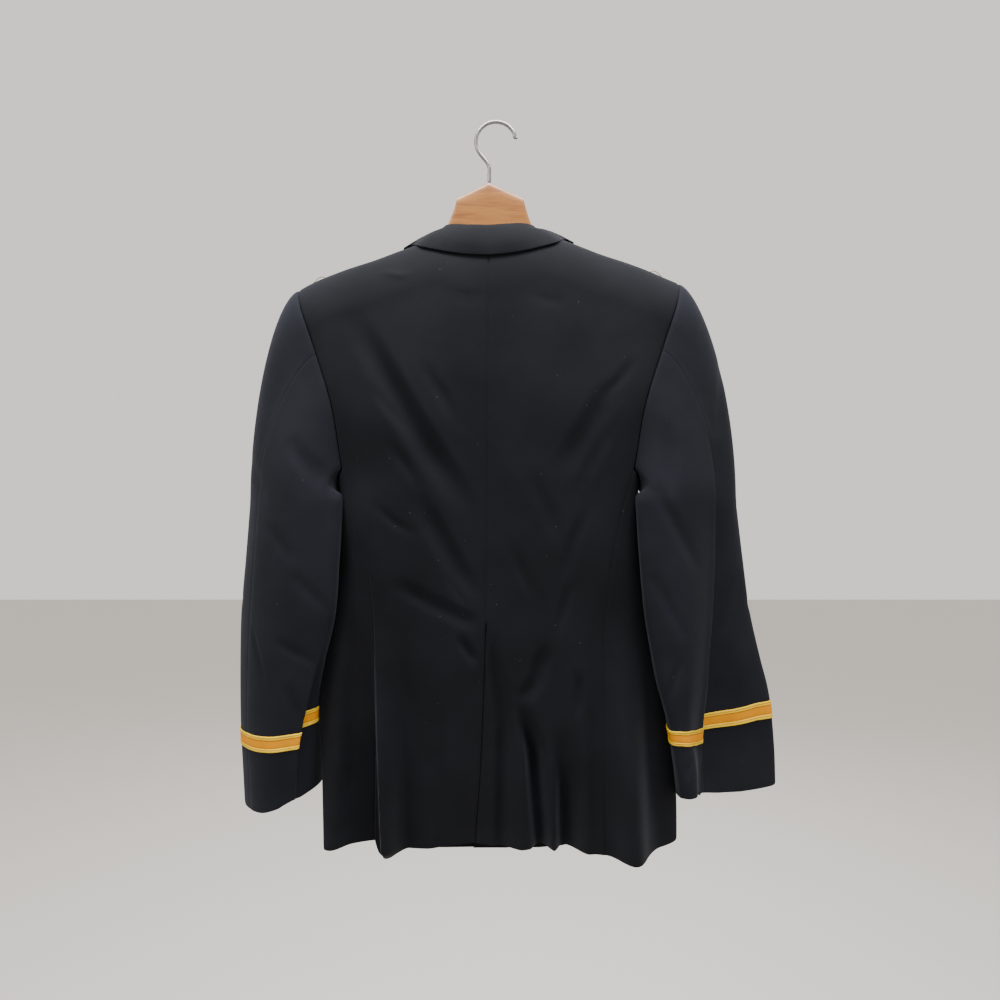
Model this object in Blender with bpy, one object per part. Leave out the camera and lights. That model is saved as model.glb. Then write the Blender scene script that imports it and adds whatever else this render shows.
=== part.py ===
"""Dress uniform jacket hanging on a wooden hanger, its back towards -Y.

Every cloth piece is a wall of CLOTH thickness. The body's pieces share one
surface: a closed ring round the body at each height, through six seams and
sides, that rolls over the hanger at the shoulders. Folds push it in or out.
Sizes are in millimetres; +X is the wearer's right, and the hook's crest
rests on the nail at the origin.
"""
import math

import bpy
import numpy as np

MM = 0.001
CLOTH = 2.0             # thickness of a cloth wall
SEAM = 0.15             # half the gap left at a seam
CENTRE_X = -6.5         # the jacket's middle, beside the nail
ROLL = 70.0             # height over which the cloth rolls onto the hanger
HEM_BACK, HEM_FRONT = -893.0, -922.0
UNDERARM, UNDERARM_DIP = -436.0, 24.0
VENT_TOP, UNDERLAP, LAP_DROP = -632.0, 16.0, 4.8
TOP_BUTTON_Z, FRONT_LAP = -440.0, 20.0

# The body's rings: back seams, sides and front seams of each half, by height.
BODY_COLUMNS = ("z", "cx", "cy", "lb_x", "lb_y", "ls_x", "ls_y", "lf_x", "lf_y",
                "fy", "rf_x", "rf_y", "rs_x", "rs_y", "rb_x", "rb_y", "bulge")
BODY = (
    (-140, -6, -40, -243, -36, -262, 0, -243, 26, 28, 229, 26, 248, 0, 229, -36, 2),
    (-212, -6, -44, -241, -37, -258, 0, -241, 28, 33, 227, 28, 246, 0, 227, -37, 3),
    (-282, -7, -47, -218, -41, -236, -3, -222, 32, 38, 205, 32, 222, -3, 205, -41, 5),
    (-364, -8, -46, -192, -49, -202, -4, -196, 37, 42, 180, 37, 188, -4, 179, -49, 6),
    (-436, -8, -43, -181, -44, -187, -5, -182, 35, 43, 169, 35, 176, -4, 167, -46, 6),
    (-498, -8, -40, -166, -48, -189, -5, -170, 36, 43, 157, 36, 181, -4, 150, -48, 3),
    (-554, -9, -38, -150, -46, -194, -6, -166, 36, 42, 153, 36, 187, -4, 140, -47, 2),
    (-609, -10, -36, -145, -40, -200, -8, -165, 36, 42, 152, 36, 192, -5, 133, -44, 2),
    (-697, -13, -33, -145, -28, -214, -10, -172, 36, 41, 159, 36, 203, -6, 131, -42, 3),
    (-810, -18, -27, -146, -14, -210, -20, -178, 32, 40, 168, 32, 219, -9, 132, -46, 5),
    (-893, -24, -20, -148, -6, -206, -30, -178, 27, 38, 170, 27, 223, -14, 133, -50, 5),
    (-940, -26, -18, -148, -4, -205, -32, -178, 26, 37, 170, 26, 224, -15, 133, -52, 5),
)

# The top line of the shoulders on the hanger, from the left tip to the right.
RIDGE = ((-262, -222), (-241, -212), (-230, -206), (-187, -188), (-145, -174),
         (-113, -162), (-90, -154), (-68, -147), (56, -141), (78, -147), (100, -155),
         (131, -167), (170, -180), (191, -188), (212, -197), (227, -203), (248, -212))
NECK_HALF, NECK_DEEP, NECK_DROP = 62.0, 26.0, 23.0

# Folds: a line through three points, how far in (+) or out (-), and the width
# on each side of the line; fade is the share of its length over which it grows.
FOLD_COLUMNS = ("x0", "z0", "x1", "z1", "x2", "z2", "depth", "west", "east", "fade0", "fade1")
BACK_FOLDS = (
    (-177, -235, -97, -378, -22, -497, 9, 24, 20, 0.45, 0.35),
    (-100, -449, -62, -520, -19, -598, 5, 20, 16, 0.40, 0.30),
    (-124, -568, -75, -596, -14, -626, 5, 13, 11, 0.30, 0.20),
    (-43, -634, -32, -652, -19, -673, 4, 10, 9, 0.40, 0.40),
    (-6, -626, 10, -747, 8, -895, 7, 10, 16, 0.25, 0.00),
    (-137, -590, -130, -740, -124, -895, -42, 13, 27, 0.95, 0.00),
    (26, -690, 34, -780, 38, -895, -9, 16, 10, 0.50, 0.00),
    (29, -712, 48, -775, 58, -895, 36, 14, 20, 0.60, 0.00),
    (82, -762, 86, -820, 88, -895, 40, 16, 28, 0.80, 0.00),
    (31, -718, 50, -690, 63, -642, 5, 14, 14, 0.30, 0.40),
    (102, -672, 102, -705, 101, -740, 3, 9, 9, 0.40, 0.40),
    (151, -322, 112, -390, 73, -452, 4, 22, 22, 0.40, 0.40),
    (150, -600, 158, -760, 166, -895, -36, 34, 36, 0.90, 0.00),
    (-184, -590, -190, -700, -194, -895, -9, 18, 20, 0.50, 0.00),
)
FRONT_FOLDS = (
    (-60, -470, -95, -560, -120, -680, 6, 22, 22, 0.40, 0.40),
    (62, -480, 92, -570, 118, -660, 5, 22, 22, 0.40, 0.40),
    (-110, -720, -104, -810, -98, -930, 6, 26, 26, 0.60, 0.00),
    (104, -700, 98, -800, 92, -930, 6, 26, 26, 0.60, 0.00),
)

# The sleeves' rings: the outer side, hindarm seam, back, inner lobe, inner side and
# front of each, by height, and how the ring tilts along X and Y.
SLEEVE_COLUMNS = ("z", "out_x", "out_y", "seam_x", "seam_y", "back_x", "back_y", "lobe_x",
                  "lobe_y", "in_x", "in_y", "front_x", "front_y", "tilt_x", "tilt_y")
SLEEVE_LEFT = (
    (-475, -299, 0, -284, -36, -240, -56, -189, -49, -199, -4, -243, 42, 0.0, 0.0),
    (-545, -305, 0, -289, -36, -246, -56, -194, -48, -203, -4, -250, 42, 0.0, 0.0),
    (-610, -311, 0, -294, -34, -253, -54, -201, -43, -207, -4, -258, 43, 0.0, 0.0),
    (-680, -313, 2, -298, -32, -262, -50, -217, -38, -220, 0, -264, 44, 0.1, 0.1),
    (-743, -313, 4, -299, -29, -268, -45, -232, -32, -224, 4, -266, 45, 0.2, 0.2),
    (-800, -311, 6, -298, -26, -270, -42, -237, -30, -222, 10, -266, 46, 0.2, 0.2),
    (-840, -309, 6, -297, -24, -271, -40, -240, -27, -222, 14, -265, 46, 0.2, 0.2),
)
SLEEVE_RIGHT = (
    (-475, 302, 8, 274, -26, 222, -56, 177, -49, 188, -4, 236, 42, 0.0, 0.0),
    (-545, 312, 10, 276, -22, 228, -55, 182, -47, 194, -2, 246, 43, 0.0, 0.0),
    (-610, 322, 12, 275, -18, 230, -54, 189, -44, 199, -2, 256, 44, 0.0, 0.0),
    (-680, 338, 16, 270, -14, 231, -52, 201, -42, 210, 0, 268, 45, 0.05, 0.02),
    (-745, 352, 20, 265, -8, 231, -50, 211, -41, 223, 4, 285, 46, 0.1, 0.03),
    (-800, 359, 24, 264, -2, 240, -48, 219, -39, 232, 8, 295, 47, 0.0, -0.08),
    (-835, 361, 26, 264, 0, 242, -46, 224, -37, 234, 10, 296, 47, -0.08, -0.17),
)
FOREARM_SEAM = 4.4                       # ring station of the inner seam
# The armhole: sleeve station from the shoulder down, and how high on the body's edge.
ARM_BACK = ((0, 2.0), (0.3, 1.62), (0.55, 1.27), (0.8, 0.99), (1.0, 0.95), (2.0, 0.83))
ARM_FRONT = ((0, 2.0), (0.3, 1.62), (0.55, 1.27), (0.75, 0.99), (1.0, 0.93))
BRAID_WIDTH, BRAID_THICK = 19.3, 1.0
BRAID_TOP_LEFT, BRAID_TOP_RIGHT = -743.0, -744.0


def hermite(rows, at):
    """Smooth curves through the rows, whose first column is the place on each."""
    rows = np.array(sorted(rows), dtype=float)
    place, value = rows[:, 0], rows[:, 1:]
    slope = np.gradient(value, place, axis=0)
    at = np.asarray(at, dtype=float)
    i = np.clip(np.searchsorted(place, at) - 1, 0, len(place) - 2)
    wide = (place[i + 1] - place[i])[..., None]
    t = ((np.clip(at, place[0], place[-1]) - place[i])[..., None]) / wide
    a, b = value[i], value[i + 1]
    ma, mb = slope[i] * wide, slope[i + 1] * wide
    return (a * (2 * t**3 - 3 * t**2 + 1) + ma * (t**3 - 2 * t**2 + t)
            + b * (3 * t**2 - 2 * t**3) + mb * (t**3 - t**2))


def round_ring(points, s):
    """A closed smooth curve through a list of point arrays, at ring stations s."""
    count = len(points)
    stack = np.stack(points)
    i = np.floor(s).astype(int)
    t = (s - i)[..., None]
    pick = [np.take_along_axis(stack, np.broadcast_to(((i + k) % count)[None, ..., None],
            (1,) + s.shape + (stack.shape[-1],)), 0)[0] for k in (-1, 0, 1, 2)]
    before, a, b, after = pick
    return 0.5 * (2 * a + (b - before) * t + (2 * before - 5 * a + 4 * b - after) * t**2
                  + (3 * a - before - 3 * b + after) * t**3)


def ramp(value):
    value = np.clip(value, 0.0, 1.0)
    return value * value * (3 - 2 * value)


def fold_push(x, z, folds):
    """How far all the folds move the cloth at (x, z), inwards."""
    push = np.zeros_like(x)
    for x0, z0, x1, z1, x2, z2, depth, west, east, fade0, fade1 in folds:
        ends = np.array(((x0, z0), (x1, z1), (x2, z2)), dtype=float)
        long = np.linalg.norm(np.diff(ends, axis=0), axis=1)
        best = np.full_like(x, 1e9)
        along = np.zeros_like(x)
        side = np.zeros_like(x)
        for k in (0, 1):
            start, run = ends[k], ends[k + 1] - ends[k]
            t = ((x - start[0]) * run[0] + (z - start[1]) * run[1]) / (run @ run)
            t = np.clip(t, 0, 1)
            dx, dz = x - start[0] - t * run[0], z - start[1] - t * run[1]
            far = np.hypot(dx, dz)
            near = far < best
            best = np.where(near, far, best)
            side = np.where(near, dx * -run[1] + dz * run[0], side)
            along = np.where(near, (long[:k].sum() + t * long[k]) / long.sum(), along)
        wide = np.where(side > 0, east, west)
        shape = np.cos(np.clip(best / wide, 0, 1) * math.pi / 2) ** 2
        grow = ramp(along / fade0) if fade0 else 1.0
        end = ramp((1 - along) / fade1) if fade1 else 1.0
        push += depth * shape * grow * end
    return push


def body_ring(s, z):
    """The body's ring before folds: x and y at ring station s (0 back, 6 front)."""
    cx, cy, lbx, lby, lsx, lsy, lfx, lfy, fy, rfx, rfy, rsx, rsy, rbx, rby, bulge = (
        np.moveaxis(hermite(BODY, z), -1, 0))
    front_x = np.full_like(cx, CENTRE_X)
    points = [(cx, cy), ((cx + lbx) / 2, (cy + lby) / 2 - bulge), (lbx, lby), (lsx, lsy),
              (lfx, lfy), ((lfx + front_x) / 2, (lfy + fy) / 2 + bulge / 2), (front_x, fy),
              ((rfx + front_x) / 2, (rfy + fy) / 2 + bulge / 2), (rfx, rfy), (rsx, rsy),
              (rbx, rby), ((cx + rbx) / 2, (cy + rby) / 2 - bulge)]
    ring = round_ring([np.stack(p, -1) for p in points], s)
    return ring[..., 0], ring[..., 1]


def hem_z(s):
    """The hem is level at the back and drops towards the front's middle."""
    return HEM_BACK + (HEM_FRONT - HEM_BACK) * ramp(1.5 - np.abs(s - 6) / 1.35)


def top_line(x, back):
    """Height and depth of the shoulder ridge, or of the back neck between them."""
    ridge = hermite(RIDGE, x)[..., 0]
    inside = np.clip(1 - (np.abs(x - CENTRE_X) / NECK_HALF) ** 2.2, 0, 1)
    return ridge - NECK_DROP * inside * back, -NECK_DEEP * inside * back


def body_point(s, q):
    """Outer face of the body: q runs 0 at the hem, 1 where the roll starts, 2 on top."""
    s, q = np.broadcast_arrays(np.asarray(s, float), np.asarray(q, float))
    back = (np.abs(s - 6) > 3).astype(float)
    x = body_ring(s, np.full_like(s, -180.0))[0]
    for _ in range(4):
        top_z, top_y = top_line(x, back)
        low = top_z - ROLL
        phi = np.clip(q - 1, 0, 1.2) * math.pi / 2
        z = np.where(q < 1, hem_z(s) + (low - hem_z(s)) * q, low + ROLL * np.sin(phi))
        x = body_ring(s, z)[0]
    y_here = body_ring(s, np.where(q < 1, z, low))[1]
    roll_y = top_y + (y_here - top_y) * np.cos(phi)
    y = np.where(q < 1, y_here, roll_y)
    ease = ramp((2 - q) / 0.8)
    push = np.where(back > 0, fold_push(x, z, BACK_FOLDS), -fold_push(x, z, FRONT_FOLDS)) * ease
    return np.stack((x, y + push, z), -1)


def q_of_z(s, z):
    """The q that puts station s at height z, on the straight part or in the roll."""
    s, z = np.broadcast_arrays(np.asarray(s, float), np.asarray(z, float))
    x = body_ring(s, z)[0]
    back = (np.abs(s - 6) > 3).astype(float)
    low = top_line(x, back)[0] - ROLL
    straight = (z - hem_z(s)) / (low - hem_z(s))
    roll = 1 + np.arcsin(np.clip((z - low) / ROLL, -1, 1)) * 2 / math.pi
    return np.where(z < low, straight, roll)


def normals(surface, s, q, ds=0.02, dq=0.004):
    """Unit normals of a surface, pointing out."""
    along = surface(s + ds, q) - surface(s - ds, q)
    up = surface(s, q + dq) - surface(s, q - dq)
    normal = np.cross(up, along)
    return normal / np.maximum(np.linalg.norm(normal, axis=-1, keepdims=True), 1e-9)


def material(name, color, rough, metal=0.0):
    mat = bpy.data.materials.new(name)
    mat.use_nodes = True
    shader = mat.node_tree.nodes["Principled BSDF"]
    shader.inputs["Base Color"].default_value = (*color, 1)
    shader.inputs["Roughness"].default_value = rough
    shader.inputs["Metallic"].default_value = metal
    return mat


def add_mesh(name, points, faces, mat):
    mesh = bpy.data.meshes.new(name)
    mesh.from_pydata((np.asarray(points) * MM).tolist(), [], faces)
    mesh.validate()
    piece = bpy.data.objects.new(name, mesh)
    mesh.materials.append(mat)
    bpy.context.collection.objects.link(piece)
    mesh.shade_smooth()
    mesh.set_sharp_from_angle(angle=math.radians(50))
    return piece


def wall(name, outer, normal, mat, thick=CLOTH, closed=False, trim=(1, 1, 1, 1)):
    """A cloth wall: the outer grid, the same grid moved in, and its four edges.

    trim says which edges (first row, last row, first column, last column) are
    drawn back from their seam.
    """
    outer = np.array(outer, dtype=float)
    first, last, west, east = trim
    facing = np.cross(outer[1:, :-1] - outer[:-1, :-1], outer[:-1, 1:] - outer[:-1, :-1])
    if (facing * normal[:-1, :-1]).sum() < 0:
        outer, normal, west, east = outer[:, ::-1].copy(), normal[:, ::-1], east, west
    draw = SEAM
    for flag, edge, near in ((first, (0, slice(None)), (1, slice(None))),
                             (last, (-1, slice(None)), (-2, slice(None))),
                             (west, (slice(None), 0), (slice(None), 1)),
                             (east, (slice(None), -1), (slice(None), -2))):
        if flag and not (closed and edge[0] == slice(None)):
            step = outer[near] - outer[edge]
            size = np.linalg.norm(step, axis=-1, keepdims=True)
            outer[edge] = outer[edge] + step * np.minimum(draw * flag / size, 0.5)
    inner = outer - normal * thick
    rows, cols = outer.shape[:2]
    points = np.concatenate((outer.reshape(-1, 3), inner.reshape(-1, 3)))
    half = rows * cols

    def at(r, c, side):
        return side * half + r * cols + (c % cols)
    faces = []
    spans = cols if closed else cols - 1
    for r in range(rows - 1):
        for c in range(spans):
            faces.append((at(r, c, 0), at(r + 1, c, 0), at(r + 1, c + 1, 0), at(r, c + 1, 0)))
            faces.append((at(r, c, 1), at(r, c + 1, 1), at(r + 1, c + 1, 1), at(r + 1, c, 1)))
    for c in range(spans):
        faces.append((at(0, c, 0), at(0, c + 1, 0), at(0, c + 1, 1), at(0, c, 1)))
        faces.append((at(rows - 1, c, 0), at(rows - 1, c, 1), at(rows - 1, c + 1, 1),
                      at(rows - 1, c + 1, 0)))
    if not closed:
        for r in range(rows - 1):
            faces.append((at(r, 0, 0), at(r, 0, 1), at(r + 1, 0, 1), at(r + 1, 0, 0)))
            faces.append((at(r, cols - 1, 0), at(r + 1, cols - 1, 0), at(r + 1, cols - 1, 1),
                          at(r, cols - 1, 1)))
    return add_mesh(name, points, faces, mat)


def break_line(z, half):
    """Inner edge of a front: neck, then the lapel's roll, then the lapped edge."""
    rows = ((-950, FRONT_LAP), (-460, FRONT_LAP), (TOP_BUTTON_Z, FRONT_LAP - 2), (-300, -14),
            (-200, -43), (-170, -55), (-140, -61))
    return CENTRE_X + (1 if half == "left" else -1) * hermite(rows, z)[..., 0]


def back_station(x, z):
    """Ring station of the back at (x, z)."""
    row = hermite(BODY, z)
    cx, left, right = row[..., 0], row[..., 2], row[..., 13]
    s = np.where(x < cx, 2 * (cx - x) / (cx - left), 12 - 2 * (x - cx) / (right - cx))
    for _ in range(3):
        miss = x - body_ring(s, z)[0]
        s = s - miss / 70
    return s


def front_station(x, z):
    """Ring station of the front at (x, z)."""
    row = hermite(BODY, z)
    left, right = row[..., 6], row[..., 9]
    s = np.where(x < CENTRE_X, 6 - 2 * (CENTRE_X - x) / (CENTRE_X - left),
                 6 + 2 * (x - CENTRE_X) / (right - CENTRE_X))
    for _ in range(3):
        s = s + (x - body_ring(s, z)[0]) / 85
    return s


def body_height(s, q):
    return body_point(s, q)[..., 2]


def lapped(s, q, edge_x, reach=9.0):
    """Body surface moved in where a piece passes under its neighbour's edge."""
    base = body_point(s, q)
    drop = LAP_DROP * ramp((edge_x(base[..., 2]) + reach - base[..., 0]) / 8.0)
    return base - normals(body_point, s, q) * drop[..., None]


def vent_edge(z):
    """The left back's edge along the vent; far away above the vent."""
    return hermite(BODY, z)[..., 0] - 400 * (z > VENT_TOP + 30)


def left_front_edge(z):
    return break_line(z, "left")


def build_body(cloth):
    straight, roll = np.linspace(0, 1, 24), np.array((1.25, 1.5, 1.72, 1.87, 2.0))
    q = np.concatenate((straight, roll))[:, None]
    spread = np.array((0, .1, .2, .3, .4, .5, .6, .7, .77, .83, .88, .93, 1.0))
    # Left back: centre seam and vent edge at station 0, side seam at 2.
    s = 2 * spread[None, :] + 0 * q
    wall("back_left", body_point(s, q), normals(body_point, s, q), cloth["back_left"])
    # Right back: the same, with the vent's underlap passing under the left back.
    spread = np.array((0, .09, .16, .21, .26, .31, .35, .39, .43, .48, .52, .56, .62, .7, .78, .85, .9, .95, 1))
    low = body_height(12 + 0 * q, q)
    lap = (UNDERLAP / 68) * ramp((VENT_TOP - low) / 24)
    s = 10 + (2 + lap) * spread[None, :]

    def right_back(s, q):
        return lapped(s, q, vent_edge)
    outer = right_back(s, q)
    wall("back_right", outer, normals(body_point, s, q), cloth["back_right"])
    # Side bodies: from the hem to the underarm, dipping under the arm.
    for name, first in (("side_left", 2.0), ("side_right", 8.0)):
        s = first + np.linspace(0, 2, 12)[None, :]
        top = UNDERARM - UNDERARM_DIP * np.sin((s - first) * math.pi / 2)
        level = np.stack([body_height(first + 0 * straight, straight),
                          body_height(first + 2 + 0 * straight, straight)], -1)
        level = level[level.max(axis=1) < UNDERARM - 5]
        across = (s - first) / 2
        z = level[:, :1] * (1 - across) + level[:, 1:] * across
        z = np.concatenate((np.minimum(z, top - 5), top))
        q_side = q_of_z(s, z)
        wall(name, body_point(s, q_side), normals(body_point, s, q_side), cloth[name])
    # Fronts: armhole and side seam to the inner edge.
    spreads = {"left": np.array((0, .14, .28, .42, .56, .7, .82, .92, 1.0)),
               "right": np.array((0, .1, .19, .24, .29, .42, .58, .78, 1.0))}
    for half, piece in (("left", "front_left"), ("right", "front_right")):
        spread = spreads[half]
        guess = 6.0 + 0 * q + 0 * spread[None, :]
        for _ in range(3):
            z = body_height(guess, q)
            inner = front_station(break_line(z, half), z)
            if half == "left":
                guess = 4 + (inner - 4) * spread[None, :]
            else:
                guess = inner + (8 - inner) * spread[None, :]
        if half == "left":
            outer = body_point(guess, q)
        else:
            outer = lapped(guess, q, left_front_edge, 16.0)
        wall(piece, outer, normals(body_point, guess, q), cloth[piece])


def build_lapels(cloth):
    for half, sign, low_z in (("left", -1, -432.0), ("right", 1, -338.0)):
        u = np.linspace(0, 1, 6)[None, :]
        r = np.linspace(0.03, 1, 12)[:, None]
        z = low_z + (-210 - 27 * u - low_z) * r
        level = low_z + (-210 - low_z) * r + 0 * u
        width = 86 * np.clip((level - low_z) / (-210 - low_z), 0, 1) ** 0.75
        x = break_line(z, half) - sign * 1.5 + sign * width * u
        s = front_station(x, z)
        q = q_of_z(s, z)
        normal = normals(body_point, s, q)
        puff = 2.7 + 3.0 * (1 - u) ** 2 * np.sin(r * math.pi / 2) ** 0.5
        outer = body_point(s, q) + normal * puff[..., None]
        wall("lapel_" + half, outer, normal, cloth["lapel_" + half], trim=(0, 0, 0, 0))


# The collar, from the middle of the back to its front end: where the neck seam is,
# the roll line from there, and the fall's edge.
COLLAR_COLUMNS = ("place", "neck", "dx", "dy", "dz", "fall_x", "fall_z", "bow")
COLLAR_BACK = ((0.0, 0, 0, -2, 31, 0, -180, 3), (0.33, 22, 4, -2, 28, 31, -178, 4),
               (0.67, 43, 3, -3, 26, 66, -171, 6), (1.0, 60, -3, -3, 21, 102, -159, 8))
COLLAR_FRONT = ((1.0, -150, -3, -3, 21, 102, -159, 8), (1.4, -165, -3, 5, 17, 108, -184, 8),
                (1.7, -185, -3, 7, 10, 106, -204, 6), (2.0, -204, -2, 6, 3, 97, -219, 3))


def collar_row(place, half):
    """Neck, roll and fall points of the collar at a place, and the way out of its fall."""
    sign = -1 if half == "left" else 1
    back = place <= 1.0
    neck, dx, dy, dz, fall_x, fall_z, bow = hermite(COLLAR_BACK if back else COLLAR_FRONT, place)
    if back:
        x = CENTRE_X + sign * neck
        s = float(back_station(np.array(x), np.array(-150.0)))
        seam = body_point(s, 2.0)
    else:
        x = float(break_line(np.array(neck), half))
        s = float(front_station(np.array(x), np.array(neck)))
        seam = body_point(s, float(q_of_z(s, neck)))
    roll = seam + np.array((sign * dx, dy, dz))
    edge_x = CENTRE_X + sign * fall_x
    edge_z = fall_z + (0.05 * fall_x if half == "right" else 0)
    if abs(place - 1.0) < 0.13:
        s = float(back_station(np.array(edge_x), np.array(-200.0)))
        q = 2.0
    else:
        find = back_station if back else front_station
        s = float(find(np.array(edge_x), np.array(edge_z)))
        q = float(q_of_z(s, edge_z))
    out = normals(body_point, np.array([s]), np.array([q]))[0]
    edge = body_point(s, q) + out * (6.0 if abs(place - 1.0) < 0.3 else 3.0)
    return seam, roll, edge, out, bow


def build_collar(cloth):
    places = np.array((0, .22, .42, .6, .78, 0.9, 1.0, 1.12, 1.25, 1.4, 1.6, 1.8, 2.0))
    rows = []
    for half, order in (("left", places[::-1]), ("right", places[1:])):
        for place in order:
            seam, roll, edge, out, bow = collar_row(place, half)
            away = edge - roll
            away = away / np.linalg.norm(away)
            flat = np.array((away[0], away[1], 0))
            flat = flat / np.linalg.norm(flat)
            start = seam + np.array((0, 0, 2.0)) - flat * 2.0 * float(ramp((place - 0.9) / 0.2))
            over = [start, start * 0.5 + roll * 0.5 - flat * 0.8, roll - flat * 1.5 - np.array((0, 0, 2.5)),
                    roll, roll + flat * 2.2 - np.array((0, 0, 2.0))]
            base = over[-1]
            for t in (0.33, 0.66, 1.0):
                over.append(base + (edge - base) * t + out * bow * 4 * t * (1 - t))
            rows.append(over)
    line = np.array(rows)
    along = np.gradient(line, axis=0)
    across = np.gradient(line, axis=1)
    normal = np.cross(along, across)
    normal /= np.linalg.norm(normal, axis=-1, keepdims=True)
    if normal[len(places) - 1, -1, 1] > 0:
        normal = -normal
    wall("collar", line + normal * 1.1, normal, cloth["collar"], thick=2.2, trim=(0, 0, 0, 0))


def arm_point(a, left):
    """The armhole seam at ring station a: 0 on the shoulder, down the back, round."""
    a = np.asarray(a, float) % 6
    back_s, front_s = (2.0, 4.0) if left else (10.0, 8.0)
    under = np.clip((a - 2.6) / (FOREARM_SEAM - 2.6), 0, 1)
    s = back_s + (front_s - back_s) * under
    q = q_of_z(s, UNDERARM - UNDERARM_DIP * np.sin(under * math.pi))
    for edge, rows, share in ((back_s, ARM_BACK, a), (front_s, ARM_FRONT, 6 - a)):
        join = float(q_of_z(edge, UNDERARM))
        table = rows + ((2.6 if edge == back_s else 6 - FOREARM_SEAM, join),)
        here = share <= table[-1][0]
        q = np.where(here, hermite(table, share)[..., 0], q)
        s = np.where(here, edge, s)
    return body_point(s, q), normals(body_point, s, q)


def sleeve_ring(a, z, rows):
    """A sleeve's ring at level z: a 0 outer side, 1 hindarm seam, 2 back, 4 inner side."""
    c = np.moveaxis(hermite(rows, z), -1, 0)
    points = [np.stack((c[2 * k], c[2 * k + 1]), -1) for k in range(6)]
    ring = round_ring(points, a % 6)
    x, y = ring[..., 0], ring[..., 1]
    return np.stack((x, y, z + c[12] * (x - c[4]) + c[13] * y), -1)


def sleeve_point(a, v, left):
    """Outer face of a sleeve: v 0 at the armhole, 1 on the first free ring, 2 at the hem."""
    rows = SLEEVE_LEFT if left else SLEEVE_RIGHT
    a, v = np.broadcast_arrays(np.asarray(a, float), np.asarray(v, float))
    first, last = rows[0][0], rows[-1][0]
    sign = -1.0 if left else 1.0
    start, torso = arm_point(a, left)
    ring = sleeve_ring(a, np.full_like(a, float(first)), rows)
    t = np.clip(v, -0.05, 1)[..., None]
    long = np.linalg.norm(ring - start, axis=-1, keepdims=True)
    out = np.array((sign, 0.0, -0.35)) / math.hypot(1, 0.35)
    under = ramp(1 - np.abs(a % 6 - 3.6) / 1.6)[..., None]
    p1 = start + out * (0.12 * long * (1 - under) + 3.0 * under)
    p2 = ring + np.array((0, 0, 1.0)) * long * 0.45
    head = (start * (1 - t) ** 3 + 3 * p1 * t * (1 - t) ** 2 + 3 * p2 * t**2 * (1 - t) + ring * t**3)
    arm = sleeve_ring(a, first + (last - first) * np.clip(v - 1, 0, 1.02), rows)
    return np.where(v[..., None] < 1, head, arm) + out * 0.85 * (1 - t)


def build_sleeves(cloth):
    for half, left in (("left", True), ("right", False)):
        rows = SLEEVE_LEFT if left else SLEEVE_RIGHT

        def surface(a, v, left=left):
            return sleeve_point(a, v, left)
        first, last = rows[0][0], rows[-1][0]
        top = BRAID_TOP_LEFT if left else BRAID_TOP_RIGHT
        levels = [first, -505, -540, -575, -610, -645, -680, -712, top, top - BRAID_WIDTH,
                  (top + last) / 2 - 8, last]
        v = np.concatenate((np.array((0, .08, .19, .33, .5, .67, .84)),
                            1 + (np.array(levels) - first) / (last - first)))[:, None]
        for name, start, end, count in (("under_sleeve_" + half, 1.0, FOREARM_SEAM, 12),
                                        ("top_sleeve_" + half, FOREARM_SEAM, 7.0, 14)):
            a = np.linspace(start, end, count)[None, :]
            outer = surface(a, v)
            normal = away_from_middle(normals(surface, a + 0 * v, v + 0 * a), outer)
            wall(name, outer, normal, cloth[name])
        # The braid lies on the sleeve, made from the sleeve's own points.
        a = np.concatenate((np.linspace(1.0, FOREARM_SEAM, 12), np.linspace(FOREARM_SEAM, 7.0, 14)[1:-1]))
        v = 1 + (np.array((top, top - BRAID_WIDTH)) - first) / (last - first)
        a, v = a[None, :] + 0 * v[:, None], v[:, None] + 0 * a[None, :]
        outer = surface(a, v)
        normal = away_from_middle(normals(surface, a, v), outer)
        wall("braid_" + half, outer + normal * (BRAID_THICK + 0.5), normal, cloth["braid_" + half],
             thick=BRAID_THICK, closed=True, trim=(0, 0, 0, 0))


def away_from_middle(normal, outer):
    """Turn the normals so that they point away from the ring's middle."""
    middle = outer.mean(axis=1, keepdims=True)
    return normal * (1.0 if ((outer - middle) * normal)[..., :2].sum() > 0 else -1.0)


BUTTON_RADIUS, BUTTON_DOME, BUTTONS = 11.0, 4.5, (-462.0, -536.0, -610.0, -684.0)
LOOP_SPAN, LOOP_RISE, LOOP_RADIUS = 17.0, 4.5, 0.7
HOOK_RADIUS, HOOK_WIRE, HOOK_SHAFT_X = 25.0, 1.9, -5.8


def tube(name, line, radius, mat, sides=8):
    """A round bar along a line of points, closed at both ends."""
    line = np.array(line, dtype=float)
    run = np.gradient(line, axis=0)
    run /= np.linalg.norm(run, axis=1, keepdims=True)
    side = np.array((0.0, 1.0, 0.0)) if abs(run[:, 1]).max() < 0.9 else np.array((0.0, 0.0, 1.0))
    points, faces = [], []
    for here, ahead in zip(line, run):
        one = np.cross(ahead, side)
        one /= np.linalg.norm(one)
        two = np.cross(ahead, one)
        for k in range(sides):
            turn = 2 * math.pi * k / sides
            points.append(here + radius * (math.cos(turn) * one + math.sin(turn) * two))
    for r in range(len(line) - 1):
        for k in range(sides):
            j = (k + 1) % sides
            faces.append((r * sides + k, r * sides + j, (r + 1) * sides + j, (r + 1) * sides + k))
    faces.append(tuple(range(sides))[::-1])
    faces.append(tuple((len(line) - 1) * sides + k for k in range(sides)))
    return add_mesh(name, points, faces, mat)


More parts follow.
